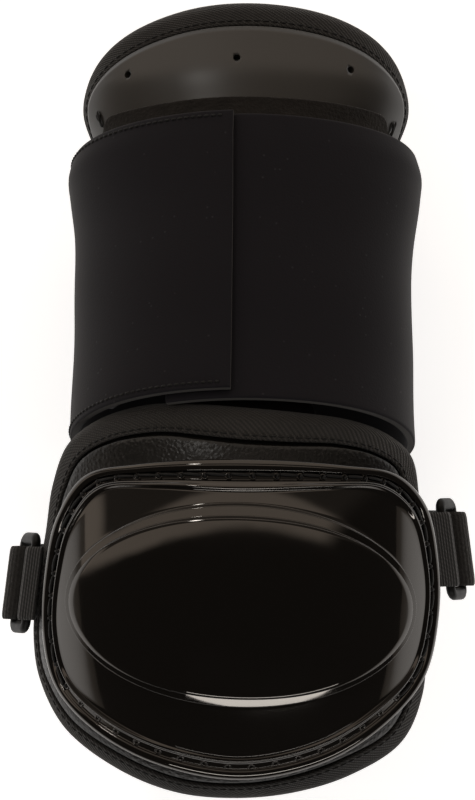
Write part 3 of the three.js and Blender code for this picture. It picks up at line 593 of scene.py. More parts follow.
arch_turns = np.linspace(180 + PAD_LEG_TURN, -PAD_LEG_TURN, ARCH_COLUMNS)[:, None]
half_foam = UPPER_FOAM / 2
arc = np.radians(np.linspace(8, 90, 10))
rim_angle, rim_along = arch_edge(arch_turns, UPPER_TAPE_COVER)
face_share = np.linspace(1, 0, 50)[1:]
face_along = PAD_START + (rim_along - PAD_START) * face_share
end_fill = edge_fill(face_along - PAD_START, half_foam, 0.25)


def upper_pad_face(side):
    """Rows of one face of the pad: its round edge inside the tape, then down to its start."""
    edge_angle, edge_along = arch_edge(arch_turns, half_foam - half_foam * np.cos(arc))
    edge = stack_point(edge_angle, edge_along, pad_layer + half_foam + side * half_foam * np.sin(arc))
    swell = side * half_foam * end_fill
    face_angle = np.broadcast_to(rim_angle, face_along.shape)
    face = stack_point(face_angle, face_along, pad_layer + half_foam + swell)
    return np.concatenate([edge, face], axis=1)


upper_pad = wall_piece("upper_foam_pad", upper_pad_face(-1), upper_pad_face(1), [vinyl])
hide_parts("upper_pad")

# Twill tape round the upper pad
# Black bias tape of cotton twill, folded over the pad's arched edge and sewn through near its
# two inner edges. Its diagonal ribs and the sewn row show.
TAPE = 0.0012
FOLD_GAP = 0.0006
TWILL_PITCH = 0.00085
TWILL_CROSS = 0.0006
TWILL_ANGLE = np.radians(55)
TWILL_DARK = (0.007, 0.0066, 0.0063)
TWILL_LIGHT = (0.029, 0.0275, 0.026)
TAPE_SEAM_INSET = 0.0016
TAPE_SEAM_PITCH = 0.003
TAPE_SEAM_SHARE = 0.8
TAPE_THREAD = 0.0003
TAPE_THREAD_ARCH = 0.0001
TAPE_SEAM_TURNS = (2, 178)
TAPE_SEAM_POINTS = 400
NUDGE = 0.001


def tape_line(half, radius, cover):
    """Inset and layer of a folded tape's line: a leg on one face, a half circle, the other leg."""
    leg = cover + (half - cover) * np.linspace(0, 1, 9)[:-1]
    turn = np.radians(np.linspace(-90, 90, 25))
    inset = np.concatenate([leg, half - radius * np.cos(turn), leg[::-1]])
    layer = np.concatenate([np.full(8, -radius), radius * np.sin(turn), np.full(8, radius)])
    return inset, layer


def cloth_axes(tree):
    """The two directions of the UV map, which counts metres."""
    uv = add_node(tree, "ShaderNodeUVMap", uv_map="metres").outputs["UV"]
    ends = add_node(tree, "ShaderNodeSeparateXYZ", {"Vector": uv})
    return ends.outputs["X"], ends.outputs["Y"]


def wave_of(tree, u, v, u_share, v_share, pitch):
    """Math nodes for 0.5 + 0.5 * sin(2 pi (u * u_share + v * v_share) / pitch)."""
    along = add_math(tree, "MULTIPLY", u, 2 * np.pi * u_share / pitch)
    phase = add_math(tree, "MULTIPLY_ADD", v, 2 * np.pi * v_share / pitch, along)
    return add_math(tree, "MULTIPLY_ADD", add_math(tree, "SINE", phase), 0.5, 0.5)


def weave_of(tree, ribs, picks):
    """Math nodes for ribs * (0.5 + 0.5 * picks)."""
    return add_math(tree, "MULTIPLY", ribs, add_math(tree, "MULTIPLY_ADD", picks, 0.5, 0.5))


twill, twill_tree, twill_shader = new_material("twill_tape", TWILL_DARK, 0.82, 0.3)
twill_shader.inputs["Sheen Weight"].default_value = 0.08
u, v = cloth_axes(twill_tree)
ribs = wave_of(twill_tree, u, v, np.cos(TWILL_ANGLE), np.sin(TWILL_ANGLE), TWILL_PITCH)
picks = wave_of(twill_tree, u, v, -np.sin(TWILL_ANGLE), np.cos(TWILL_ANGLE), TWILL_CROSS)
weave = weave_of(twill_tree, ribs, picks)
dust_share = ramp(twill_tree, noise(twill_tree, scale=40.0, detail=4.0), first=0.45, last=1.25)
toned = add_node(
    twill_tree, "ShaderNodeVectorMath",
    {0: blend(twill_tree, weave, TWILL_DARK, TWILL_LIGHT), "Scale": dust_share}, operation="SCALE",
)
twill_tree.links.new(toned.outputs["Vector"], twill_shader.inputs["Base Color"])
add_bump(twill_tree, twill_shader, weave, strength=0.9, distance=0.00025)


def upper_tape_face(turns, radius, cover=UPPER_TAPE_COVER):
    """Points of the tape's line at a radius round the pad's middle, for each turn of the arch."""
    inset, layer = tape_line(half_foam, radius, cover)
    edge_angle, edge_along = arch_edge(turns, inset)
    return stack_point(edge_angle, edge_along, pad_layer + half_foam + layer)


upper_tape = wall_piece(
    "upper_tape", upper_tape_face(arch_turns, half_foam + FOLD_GAP + TAPE),
    upper_tape_face(arch_turns, half_foam + FOLD_GAP), [twill],
)
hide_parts("upper_binding")

seam_turns = np.linspace(*TAPE_SEAM_TURNS, TAPE_SEAM_POINTS)
seam_angle, seam_place = arch_edge(seam_turns, UPPER_TAPE_COVER - TAPE_SEAM_INSET)
tape_top = pad_layer - FOLD_GAP - TAPE
seam_line = stack_point(seam_angle, seam_place, tape_top)
seam_ups = seam_line - stack_point(seam_angle, seam_place, tape_top + NUDGE)
seam_row = row_of_stitches(seam_line, seam_ups, TAPE_SEAM_PITCH, TAPE_SEAM_SHARE)
upper_seam = stitch_piece("upper_tape_seam", *seam_row, TAPE_THREAD, TAPE_THREAD_ARCH, thread)

# Hard plate of the upper arm
# A moulded plate of dark satin plastic inside the tape, bevelled along its arched edge. Three
# drilled holes are left open, and a knot of thread ties it down at each lower corner.
PLATE_BEVEL = 0.003
PLATE_BEVEL_DROP = 0.0009
PLATE_TUCK = 0.008
PLATE_EDGE_ROUND = 0.0006
PLATE_LEG_TURN = 14
PLATE_COLUMNS = 261
STITCH_HOLE = 0.0024
STITCH_HOLE_ROW = 0.0215
STITCH_HOLE_DROP = 0.002
STITCH_HOLE_ANGLES = [137, 93.5, 50]
DRILL_SIDES = 32
DRILL_ABOVE = 0.002
DRILL_BELOW = 0.0006
PLATE_COLOUR = (0.014, 0.0125, 0.0105)
KNOT_ANGLES = [155, 22.5]
KNOT_PAST_WRAP = [0.0083, 0.0055]
KNOT_HALF = 0.0021
KNOT_SHIFTS = np.array([-0.5, 0.1, 0.6, -0.2])
KNOT_SPREAD = 2.0
KNOT_LEAN = 3
KNOT_SINK = 0.0003
KNOT_THREAD = 0.0004
KNOT_ARCH = 0.0005

plate_turns = np.linspace(-PLATE_LEG_TURN, 180 + PLATE_LEG_TURN, PLATE_COLUMNS)[:, None]
edge_inset = UPPER_TAPE_COVER + WRAP_GAP
bevel_inset = edge_inset + 2 * PLATE_BEVEL * np.linspace(0, 1, 25)
plate_rim_angle, plate_rim_along = arch_edge(plate_turns, bevel_inset[-1])
plate_low = SLEEVE_LENGTH - PLATE_TUCK - PAD_LEG
low_along = plate_rim_along + (plate_low - plate_rim_along) * np.linspace(0, 1, 24)[1:]


def plate_face(bevel_layer, flat_layer):
    """Rows of one face of the plate: over its bevel, then straight down under the wrap."""
    bevel_angle, bevel_along = arch_edge(plate_turns, bevel_inset)
    bevel = stack_point(bevel_angle, bevel_along, bevel_layer)
    flat = stack_point(np.broadcast_to(plate_rim_angle, low_along.shape), low_along, flat_layer)
    return np.concatenate([bevel, flat], axis=1)


bevel_drop = PLATE_BEVEL_DROP * (1 - smooth_rise(bevel_inset, edge_inset, edge_inset + 0.9 * PLATE_BEVEL))
edge_drop = PLATE_EDGE_ROUND * (1 - edge_fill(bevel_inset - edge_inset, PLATE_EDGE_ROUND, 0))
satin, plate_tree, plate_shader = new_material("satin_plate", PLATE_COLOUR, 0.38, 0.5)
vary_roughness(plate_tree, plate_shader, scale=35.0, detail=5.0, first=0.32, last=0.44)
mould = noise(plate_tree, scale=900.0, detail=2.0)
add_bump(plate_tree, plate_shader, mould, strength=0.12, distance=0.0001)
plate = wall_piece(
    "upper_hard_plate", plate_face(plate_layer + bevel_drop + edge_drop, plate_layer),
    plate_face(plate_layer + PLATE_WALL, plate_layer + PLATE_WALL), [satin],
)
turn = np.linspace(0, 2 * np.pi, DRILL_SIDES, endpoint=False)
circle = np.stack([np.cos(turn), np.sin(turn), 0 * turn], -1) * STITCH_HOLE / 2
drill_side = [(i, (i + 1) % DRILL_SIDES) for i in range(DRILL_SIDES)]
drill_faces = [(i, k, DRILL_SIDES + k, DRILL_SIDES + i) for i, k in drill_side]
drill_faces.append(tuple(range(DRILL_SIDES - 1, -1, -1)))
drill_faces.append(tuple(range(DRILL_SIDES, 2 * DRILL_SIDES)))
for hole_angle in STITCH_HOLE_ANGLES:
    hole_along = SLEEVE_LENGTH + STITCH_HOLE_ROW - STITCH_HOLE_DROP * abs(np.cos(np.radians(hole_angle)))
    top = Vector(stack_point(hole_angle, np.array(hole_along), -DRILL_ABOVE))
    bottom = Vector(stack_point(hole_angle, np.array(hole_along), plate_layer + PLATE_WALL + DRILL_BELOW))
    spin = (top - bottom).to_track_quat("Z", "Y").to_matrix()
    disc = circle @ np.array(spin).T
    rings = np.concatenate([disc + np.array(bottom), disc + np.array(top)])
    drill = bpy.data.meshes.new("drill")
    drill.from_pydata(rings.tolist(), [], drill_faces)
    tool = new_object("drill", drill)
    cut = plate.modifiers.new("hole", "BOOLEAN")
    cut.object = tool
    cut.solver = "EXACT"
    bpy.context.view_layer.update()
    shaped = plate.evaluated_get(bpy.context.evaluated_depsgraph_get())
    plate.data = bpy.data.meshes.new_from_object(shaped)
    plate.modifiers.clear()
    bpy.data.objects.remove(tool)
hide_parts("upper_plate")

for name, knot_angle, past in zip(("left", "right"), KNOT_ANGLES, KNOT_PAST_WRAP):
    strand_angle = knot_angle + KNOT_SPREAD * KNOT_SHIFTS
    strand_along = SLEEVE_LENGTH + past + KNOT_HALF * 0.8 * np.roll(KNOT_SHIFTS, 1)
    strand_start = stack_point(strand_angle, strand_along + KNOT_HALF, plate_layer - KNOT_SINK)
    end_angle = strand_angle + KNOT_LEAN * np.roll(KNOT_SHIFTS, 2)
    strand_end = stack_point(end_angle, strand_along - KNOT_HALF, plate_layer - KNOT_SINK)
    strand_up = stack_point(strand_angle, strand_along, 0.0) - stack_point(strand_angle, strand_along, NUDGE)
    knot = stitch_piece(
        f"plate_knot_{name}", strand_start, strand_end, strand_up, KNOT_THREAD, KNOT_ARCH, thread
    )

# Soft band over the plate's lower edge
# A strip of brushed black loop fabric that pads the plate's lower edge under the wrap. It shows
# as a dark matt arc with one rounded end.
BAND_SHOW = 0.0075
BAND_TUCK = 0.014
BAND_START_ANGLE = 27
BAND_END_ANGLE = 154
BAND_CORNER_ANGLE = 8
BAND_EDGE_ROUND = 0.0006
BAND_COLUMNS = 200
BAND_ROWS = 30
BAND_COLOUR = (0.0125, 0.0115, 0.011)
BAND_SHADES = ((0.005, 0.0045, 0.004), (0.017, 0.015, 0.0135))

band_share = close_steps(BAND_COLUMNS)[:, None] * 2 - 1
band_half = (BAND_END_ANGLE - BAND_START_ANGLE) / 2
band_angle = (BAND_START_ANGLE + BAND_END_ANGLE) / 2 + band_half * band_share
corner = np.minimum(1, (1 - np.abs(band_share)) * band_half / BAND_CORNER_ANGLE)
show = BAND_SHOW * np.sqrt(1 - (1 - corner) ** 2)
band_low = SLEEVE_LENGTH - BAND_TUCK
band_along = band_low + (SLEEVE_LENGTH + show - band_low) * close_steps(BAND_ROWS)
band_fill = edge_fill(SLEEVE_LENGTH + show - band_along, BAND_EDGE_ROUND, 0.3)
brushed, brushed_tree, brushed_shader = new_material("brushed_fabric", BAND_COLOUR, 0.95, 0.15)
band = wall_piece(
    "soft_band", stack_point(band_angle, band_along, BAND_FABRIC / 2 * (1 - band_fill)),
    stack_point(band_angle, band_along, BAND_FABRIC / 2 * (1 + band_fill)), [brushed],
)
brushed_shader.inputs["Sheen Weight"].default_value = 0.15
tufts = noise(brushed_tree, scale=160.0, detail=3.0)
nap_sum = add_math(brushed_tree, "ADD", noise(brushed_tree, scale=900.0, detail=4.0), tufts)
add_bump(brushed_tree, brushed_shader, nap_sum, strength=1.0, distance=0.0004)
brushed_tree.links.new(blend(brushed_tree, tufts, *BAND_SHADES), brushed_shader.inputs["Base Color"])
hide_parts("loop_panel")

# Foam cup round the elbow
# A pad of closed foam in pebbled black vinyl, moulded to the bent elbow. Its face shows between
# the tape and the hard cap, and its back lines the cup.
CUP_CROWN_HEIGHT = 0.126
CUP_CROWN_Y = -0.042
CUP_DEPTH = 0.088
CUP_HALF_WIDTH = 0.0782
CUP_BEND_RADIUS = 0.128
PAD_HALF_WIDTH = 0.067
PAD_HALF_LENGTH = 0.0677
PAD_CENTRE = np.array([-0.0032, -0.0684])
PAD_FOAM = 0.009
PAD_SHOULDER = 0.0022
PAD_HOLLOW = 0.0008
PAD_COLUMNS = 360
CORE_FIRST = 0.03
TAPE_COVER_LEFT = 0.0085
TAPE_COVER_TOP = 0.0113
SHELL_WALL = 0.0025
PAD_X = [0.04, 0.36, 0.62, 0.8, 0.915, 0.955, 0.975, 0.99, 0.975, 0.87, 0.62, 0.33, 0.02,
         -0.29, -0.59, -0.85, -0.97, -1, -0.985, -0.94, -0.905, -0.83, -0.68, -0.43, -0.2]
PAD_Y = [0.985, 0.955, 0.915, 0.845, 0.74, 0.54, 0.18, -0.16, -0.48, -0.72, -0.88, -0.97, -1,
         -0.97, -0.85, -0.65, -0.41, -0.2, 0.06, 0.36, 0.6, 0.8, 0.92, 0.995, 1]


def oval_drop(share):
    """1 - sqrt(1 - share^2), the fall of a circle of radius 1 from its top."""
    return 1 - np.sqrt(1 - np.minimum(share * share, 0.99))


def cup_height(x, y):
    """Crown height - depth * oval drop across the arm - bend radius * circle drop along it."""
    across = CUP_DEPTH * oval_drop(x / CUP_HALF_WIDTH)
    return CUP_CROWN_HEIGHT - across - CUP_BEND_RADIUS * oval_drop((y - CUP_CROWN_Y) / CUP_BEND_RADIUS)


def cup_normal(spot):
    """Unit normal of the cup over a spot, from the slopes of its height."""
    step = 0.00005
    x, y = spot[..., 0], spot[..., 1]
    slope_x = (cup_height(x + step, y) - cup_height(x - step, y)) / (2 * step)
    slope_y = (cup_height(x, y + step) - cup_height(x, y - step)) / (2 * step)
    return unit(np.stack([-slope_x, -slope_y, np.ones_like(x)], -1))


def cup_point(spot, layer):
    """Point over a spot of the cup: the cup's face + unit normal * layer."""
    layer = np.broadcast_to(layer, spot.shape[:-1])
    face = np.concatenate([spot, cup_height(spot[..., 0], spot[..., 1])[..., None]], -1)
    return face + cup_normal(spot) * layer[..., None] + GUARD_SHIFT


def inward(spot, centre, length):
    """Spot moved towards the centre by a length measured on the cup's sloping face."""
    ray = unit(centre - spot)
    step = 0.001
    ahead = spot + ray * step
    slope = (cup_height(ahead[..., 0], ahead[..., 1]) - cup_height(spot[..., 0], spot[..., 1])) / step
    return spot + ray * (length / np.hypot(1, slope))[..., None]


def outline_spots(x_shares, y_shares, centre, half_width, half_length, count):
    """Evenly spaced spots of the closed centripetal Catmull-Rom curve through a table of shares."""
    corners = centre + np.stack([np.array(x_shares) * half_width, np.array(y_shares) * half_length], -1)
    p0, p1, p2, p3 = (np.roll(corners, n, axis=0)[:, None] for n in (1, 0, -1, -2))
    gap0, gap1, gap2 = (
        np.sqrt(np.linalg.norm(b - a, axis=-1, keepdims=True)) for a, b in ((p0, p1), (p1, p2), (p2, p3))
    )
    start = ((p1 - p0) / gap0 - (p2 - p0) / (gap0 + gap1) + (p2 - p1) / gap1) * gap1
    end = ((p2 - p1) / gap1 - (p3 - p1) / (gap1 + gap2) + (p3 - p2) / gap2) * gap1
    t = np.linspace(0, 1, 60, endpoint=False)[None, :, None]
    curve = p1 + start * t + (3 * (p2 - p1) - 2 * start - end) * t**2 + (2 * (p1 - p2) + start + end) * t**3
    curve = closed(curve.reshape(-1, 2))
    reach = reach_of(curve)
    return at_reach(np.linspace(0, reach[-1], count, endpoint=False), reach, curve)


def ring_piece(name, first_pole, rings, last_pole, materials):
    """Closed body from rings of equal count, with a pole before the first and after the last."""
    count, around = rings.shape[:2]
    points = np.concatenate([rings.reshape(-1, 3), first_pole[None], last_pole[None]])
    j = np.arange(0, around, 2)
    k, m = (j + 1) % around, (j + 2) % around
    first, last = count * around, count * around + 1
    end = (count - 1) * around
    start_fan = np.stack([np.full_like(j, first), j, k, m], -1)
    end_fan = np.stack([np.full_like(j, last), end + m, end + k, end + j], -1)
    faces = np.concatenate([tube_faces(count, around), start_fan, end_fan])
    piece, _ = link_mesh(name, points, faces, materials)
    return piece


pad_face = -(SHELL_WALL + WRAP_GAP)
pad_half = PAD_FOAM / 2
pad_middle = pad_face - TAPE - FOLD_GAP - pad_half
pad_places = outline_spots(PAD_X, PAD_Y, PAD_CENTRE, PAD_HALF_WIDTH, PAD_HALF_LENGTH, PAD_COLUMNS)
pad_spots = pad_places.copy()
for _ in range(6):
    pad_spots = pad_places - cup_normal(pad_spots)[:, :2] * pad_middle / 2
pad_spots = inward(pad_spots, PAD_CENTRE, TAPE + FOLD_GAP)
pad_ray = unit(pad_spots - PAD_CENTRE)
wide_side = smooth_rise(np.maximum(pad_ray[:, 1], pad_ray[:, 0]), 0.0, 0.75)
tape_cover = TAPE_COVER_LEFT + (TAPE_COVER_TOP - TAPE_COVER_LEFT) * wide_side


def pad_ring(inset, layer):
    """Ring of the pad at an inset from its edge, one for all or one a spot, and a layer."""
    return cup_point(inward(pad_spots, PAD_CENTRE, np.broadcast_to(inset, len(pad_spots))), layer)


def pad_core(share, layer):
    """Ring of the pad at a share of the way from its centre to the tape's shoulder."""
    edge = inward(pad_spots, PAD_CENTRE, tape_cover + PAD_SHOULDER)
    return cup_point(PAD_CENTRE + (edge - PAD_CENTRE) * share, layer)


core_shares = np.linspace(CORE_FIRST, 1, 50)
hollow = PAD_HOLLOW * (1 - smooth_rise(core_shares, 0.75, 1))
pad_rings = [pad_core(share, pad_face - low) for share, low in zip(core_shares, hollow)]
for t in np.linspace(0, 1, 9)[1:]:
    shoulder = pad_face + (pad_middle + pad_half - pad_face) * smooth_rise(t, 0, 1)
    pad_rings.append(pad_ring(tape_cover + PAD_SHOULDER - (PAD_SHOULDER - WRAP_GAP) * t, shoulder))
for t in np.radians(np.linspace(90, -90, 25)):
    pad_rings.append(pad_ring(pad_half - pad_half * np.cos(t), pad_middle + pad_half * np.sin(t)))
pad_rings.append(pad_ring(tape_cover + WRAP_GAP, pad_middle - pad_half))
pad_rings += [pad_core(share, pad_middle - pad_half) for share in core_shares[::-1]]
elbow_pad = ring_piece(
    "elbow_foam_cup", cup_point(PAD_CENTRE, pad_face - PAD_HOLLOW), np.stack(pad_rings),
    cup_point(PAD_CENTRE, pad_middle - pad_half), [vinyl],
)
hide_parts("elbow_pad")

# Twill tape round the elbow pad
# The same bias tape as on the upper pad, folded over the whole edge of the cup and sewn through
# near its inner edges.


def elbow_tape_face(radius):
    """Points of the tape's line at a radius round the pad's middle, for each spot of the edge."""
    narrow, layer = tape_line(pad_half, radius, TAPE_COVER_LEFT)
    wide, _ = tape_line(pad_half, radius, TAPE_COVER_TOP)
    share = (tape_cover - TAPE_COVER_LEFT) / (TAPE_COVER_TOP - TAPE_COVER_LEFT)
    rows = [pad_ring(n + (w - n) * share, pad_middle - l) for n, w, l in zip(narrow, wide, layer)]
    return np.stack(rows, axis=1)


elbow_tape = wall_piece(
    "elbow_tape", elbow_tape_face(pad_half + FOLD_GAP + TAPE), elbow_tape_face(pad_half + FOLD_GAP),
    [twill], looped=True,
)
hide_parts("elbow_binding")

tape_face = pad_middle + pad_half + FOLD_GAP + TAPE
seam_line = pad_ring(tape_cover - TAPE_SEAM_INSET, tape_face)
seam_ups = seam_line - pad_ring(tape_cover - TAPE_SEAM_INSET, tape_face - NUDGE)
seam_row = row_of_stitches(closed(seam_line), closed(seam_ups), TAPE_SEAM_PITCH, TAPE_SEAM_SHARE)
elbow_seam = stitch_piece("elbow_tape_seam", *seam_row, TAPE_THREAD, TAPE_THREAD_ARCH, thread)

# Hidden panel between the two pads
# A plain strip of neoprene on the inner faces of the two pads, which lets the guard bend. Only a
# little of it shows, in the dark gap under the wrap's mouth.
HINGE_WIDTH = 0.064
HINGE_THICKNESS = 0.002
HINGE_LAP = 0.012
HINGE_COLUMNS = 60
HINGE_ROWS = 6
HINGE_BEND_ROWS = 12
HINGE_PULL = 0.6

under_pad = pad_layer + UPPER_FOAM + WRAP_GAP
under_cup = pad_middle - pad_half - FOLD_GAP - TAPE - WRAP_GAP
hinge_x = np.linspace(-HINGE_WIDTH / 2, HINGE_WIDTH / 2, HINGE_COLUMNS)
hinge_angle = np.degrees(np.arccos(hinge_x / SLEEVE_HALF_WIDTH))
fold_spot = np.stack([hinge_x, np.full(HINGE_COLUMNS, PAD_CENTRE[1] + PAD_HALF_LENGTH)], -1)


def hinge_face(layer):
    """Rows of the panel: on the upper pad, over the fold as one smooth bend, and on the cup."""
    laps = np.linspace(0, HINGE_LAP, HINGE_ROWS)
    high = [stack_point(hinge_angle, PAD_START + lap, under_pad + layer) for lap in laps[::-1]]
    low = [cup_point(fold_spot - [0, lap], under_cup - layer) for lap in laps]
    start, end = high[-1], low[0]
    pull = np.linalg.norm(end - start, axis=-1).mean() * HINGE_PULL
    out = unit(high[-1] - high[0]) * pull
    into = unit(low[-1] - low[0]) * pull
    bend_rows = [smooth_curve(t, start, out, end, into) for t in np.linspace(0, 1, HINGE_BEND_ROWS)[1:-1]]
    return np.stack([*high, *bend_rows, *low], axis=1)


hinge = wall_piece("hinge_strip", hinge_face(0), hinge_face(HINGE_THICKNESS), [neoprene])
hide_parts("hinge_panel")

# Hard cap of the elbow
# One moulding of glossy black plastic with a rim, a stitch groove, a ridge and a smooth dome of
# two oval steps. It is sewn on through eyelets in the groove.
SHELL_HALF_WIDTH = 0.0671
SHELL_HALF_LENGTH = 0.0542
SHELL_CENTRE = np.array([0, -0.0742])
SHELL_COLUMNS = 400
SHELL_EDGE_ROUND = 0.0007
RIM_WIDTH = 0.0037
RIM_CROWN = 0.0005
GROOVE_WIDTH = 0.0041
GROOVE_DEPTH = 0.0011
GROOVE_SIDE = 0.0008
RIDGE_WIDTH = 0.0036
RIDGE_HEIGHT = 0.0009
DOME_HALF_WIDTH = 0.0583
DOME_HALF_LENGTH = 0.0342
DOME_CENTRE = np.array([0, -0.0688])
DOME_TURN = np.radians(-2)
DOME_STEP = 0.0019
DOME_STEP_RUN = 0.0012
DOME_BENCH = 0.0042
DOME_CROWN = 0.0004
DOME_LIP = 0.0007
DOME_LIP_FADE = (0.1, 0.9)
SHELL_COLOUR = (0.0035, 0.0032, 0.003)
SHELL_X = [0, 0.51, 0.785, 0.93, 0.995, 1, 0.93, 0.742, 0.434,
           0, -0.444, -0.755, -0.937, -1, -0.985, -0.924, -0.783, -0.52]
SHELL_Y = [1, 0.963, 0.9, 0.712, 0.37, 0.025, -0.362, -0.644, -0.887,
           -1, -0.894, -0.68, -0.425, -0.1, 0.306, 0.637, 0.894, 0.969]

shell_spots = outline_spots(
    SHELL_X, SHELL_Y, SHELL_CENTRE, SHELL_HALF_WIDTH, SHELL_HALF_LENGTH, SHELL_COLUMNS
)
dome_ray = unit(shell_spots - DOME_CENTRE)
turned_x = dome_ray[:, 0] * np.cos(-DOME_TURN) - dome_ray[:, 1] * np.sin(-DOME_TURN)
turned_y = dome_ray[:, 0] * np.sin(-DOME_TURN) + dome_ray[:, 1] * np.cos(-DOME_TURN)
dome_reach = 1 / np.hypot(turned_x / DOME_HALF_WIDTH, turned_y / DOME_HALF_LENGTH)
dome_spots = DOME_CENTRE + dome_ray * dome_reach[:, None]
face_inset = RIM_WIDTH + GROOVE_WIDTH + RIDGE_WIDTH


def rim_ring(inset, layer):
    """Ring of the cap at an inset from its outline."""
    return cup_point(inward(shell_spots, DOME_CENTRE, np.full(len(shell_spots), inset)), layer)


def dome_ring(inset, layer):
    """Ring of the cap at an inset from the dome's oval edge, or outside it where negative."""
    return cup_point(inward(dome_spots, DOME_CENTRE, np.full(len(shell_spots), inset)), layer)


def core_ring(share, layer):
    """Ring of the dome's top at a share of the way from its centre to the upper step."""
    edge = inward(dome_spots, DOME_CENTRE, np.full(len(shell_spots), DOME_BENCH + DOME_STEP_RUN))
    return cup_point(DOME_CENTRE + (edge - DOME_CENTRE) * share, layer)


def rim_profile(inset):
    """Layer over the cup: a round edge, a rim and a ridge like waves, a groove between them."""
    edge = SHELL_EDGE_ROUND * (edge_fill(inset, SHELL_EDGE_ROUND, 0) - 1)
    edge = edge + RIM_CROWN * np.sin(np.pi * np.clip(inset / RIM_WIDTH, 0, 1))
    groove_start, groove_end = RIM_WIDTH, RIM_WIDTH + GROOVE_WIDTH
    down = smooth_rise(inset, groove_start, groove_start + GROOVE_SIDE)
    up = smooth_rise(inset, groove_end - GROOVE_SIDE, groove_end)
    share = np.clip((inset - groove_end) / RIDGE_WIDTH, 0, 1)
    ridge = RIDGE_HEIGHT * np.sin(np.pi * share) ** 2 * (share > 0)
    return edge - GROOVE_DEPTH * (down - up) + ridge


core_shares = np.linspace(CORE_FIRST, 0.97, 40)
core_layers = 2 * DOME_STEP + DOME_CROWN * (1 - core_shares**2) ** 2
lip = DOME_LIP * smooth_rise(-dome_ray[:, 1], *DOME_LIP_FADE)
shell_rings = [core_ring(share, layer + lip * share**5) for share, layer in zip(core_shares, core_layers)]
for inset in np.linspace(DOME_BENCH + DOME_STEP_RUN, 0, 46):
    lower = smooth_rise(inset, 0, DOME_STEP_RUN)
    upper = smooth_rise(inset, DOME_BENCH, DOME_BENCH + DOME_STEP_RUN)
    shell_rings.append(dome_ring(inset, DOME_STEP * (lower + upper) + lip * upper))
face_spots = inward(shell_spots, DOME_CENTRE, np.full(len(shell_spots), face_inset))
for share in np.linspace(1, 0, 14)[1:-1]:
    shell_rings.append(cup_point(face_spots + (dome_spots - face_spots) * share, 0))
edge_insets = SHELL_EDGE_ROUND * close_steps(12)[::-1][7:]
for inset in np.concatenate([np.linspace(face_inset, SHELL_EDGE_ROUND, 60), edge_insets]):
    shell_rings.append(rim_ring(inset, rim_profile(inset)))
shell_rings.append(rim_ring(0, SHELL_EDGE_ROUND - SHELL_WALL))
shell_rings.append(rim_ring(SHELL_EDGE_ROUND, -SHELL_WALL))
shell_rings.append(rim_ring(face_inset, -SHELL_WALL))
shell_rings.append(dome_ring(0, -SHELL_WALL))
for share in np.linspace(1, CORE_FIRST, 12):
    shell_rings.append(core_ring(share, DOME_STEP * (1 + smooth_rise(1 - share, 0, 0.55)) - SHELL_WALL))

gloss, gloss_tree, gloss_shader = new_material("gloss_shell", SHELL_COLOUR, 0.07, 0.5)
gloss_shader.inputs["Specular Tint"].default_value = (1, 0.93, 0.86, 1)
gloss_shader.inputs["Coat Weight"].default_value = 0.25
gloss_shader.inputs["Coat Roughness"].default_value = 0.04
vary_roughness(
    gloss_tree, gloss_shader, scale=28.0, detail=6.0, low=0.35, high=0.75, first=0.04, last=0.1
)
ripple = noise(gloss_tree, scale=90.0, detail=1.0)
add_bump(gloss_tree, gloss_shader, ripple, strength=0.06, distance=0.0005)

shell = ring_piece(
    "elbow_hard_cap", cup_point(DOME_CENTRE, 2 * DOME_STEP + DOME_CROWN), np.stack(shell_rings),
    cup_point(DOME_CENTRE, 2 * DOME_STEP - SHELL_WALL), [gloss],
)
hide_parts("elbow_shell")

# Stitching of the cap
# Heavy waxed black thread that holds the cap to the pad: it runs along the groove and turns
# down through a small raised eyelet every 8 mm.
EYELET_PITCH = 0.008
EYELET_RADIUS = 0.001
EYELET_LIP = 0.00045
EYELET_LIFT = 0.2
EYELET_SIDES = 12
EYELET_LIP_TURNS = [-30, 20, 55, 90, 125, 160, 210]
CAP_THREAD = 0.0006
CAP_THREAD_ARCH = 0.00035
CAP_THREAD_Y = -0.098
CAP_STITCH_ENDS = {
    "run_start": {"out": 0.0008, "side": 0, "up": 0.0005},
    "run_end": {"out": 0.00032, "side": 0, "up": 0.0003},
    "leg_start": {"out": 0.0011, "side": 0, "up": 0.0006},
    "leg_end": {"out": -0.001, "side": 0.0003, "up": 0.0003},
}

groove_inset = RIM_WIDTH + GROOVE_WIDTH / 2
groove_line = closed(rim_ring(groove_inset, -GROOVE_DEPTH))
outer_line = closed(rim_ring(groove_inset - NUDGE, -GROOVE_DEPTH))
above_line = closed(rim_ring(groove_inset, NUDGE - GROOVE_DEPTH))
groove_reach = reach_of(groove_line)
eyelet_count = round(groove_reach[-1] / EYELET_PITCH)
eyelet_places = (np.arange(eyelet_count) + 0.5) / eyelet_count * groove_reach[-1]
eyelet_at = at_reach(eyelet_places, groove_reach, groove_line)
eyelet_out = (at_reach(eyelet_places, groove_reach, outer_line) - eyelet_at) / NUDGE
eyelet_up = (at_reach(eyelet_places, groove_reach, above_line) - eyelet_at) / NUDGE
eyelet_side = np.cross(eyelet_out, eyelet_up)

turn = np.linspace(0, 2 * np.pi, EYELET_SIDES, endpoint=False)
lip_turn = np.radians(EYELET_LIP_TURNS)
lip_radius = EYELET_RADIUS + EYELET_LIP * np.cos(lip_turn)
lip_height = EYELET_LIP * (EYELET_LIFT + np.sin(lip_turn))
spin = eyelet_out[:, None] * np.cos(turn)[:, None] + eyelet_side[:, None] * np.sin(turn)[:, None]
lips = (
    eyelet_at[:, None, None] + spin[:, None] * lip_radius[:, None, None]
    + eyelet_up[:, None, None] * lip_height[:, None, None]
)
lip_faces = tube_faces(len(lip_turn), EYELET_SIDES, looped=True)
lip_faces = repeated(lip_faces, eyelet_count, len(lip_turn) * EYELET_SIDES)
eyelets, _ = link_mesh("cap_eyelets", lips.reshape(-1, 3), lip_faces, [gloss])


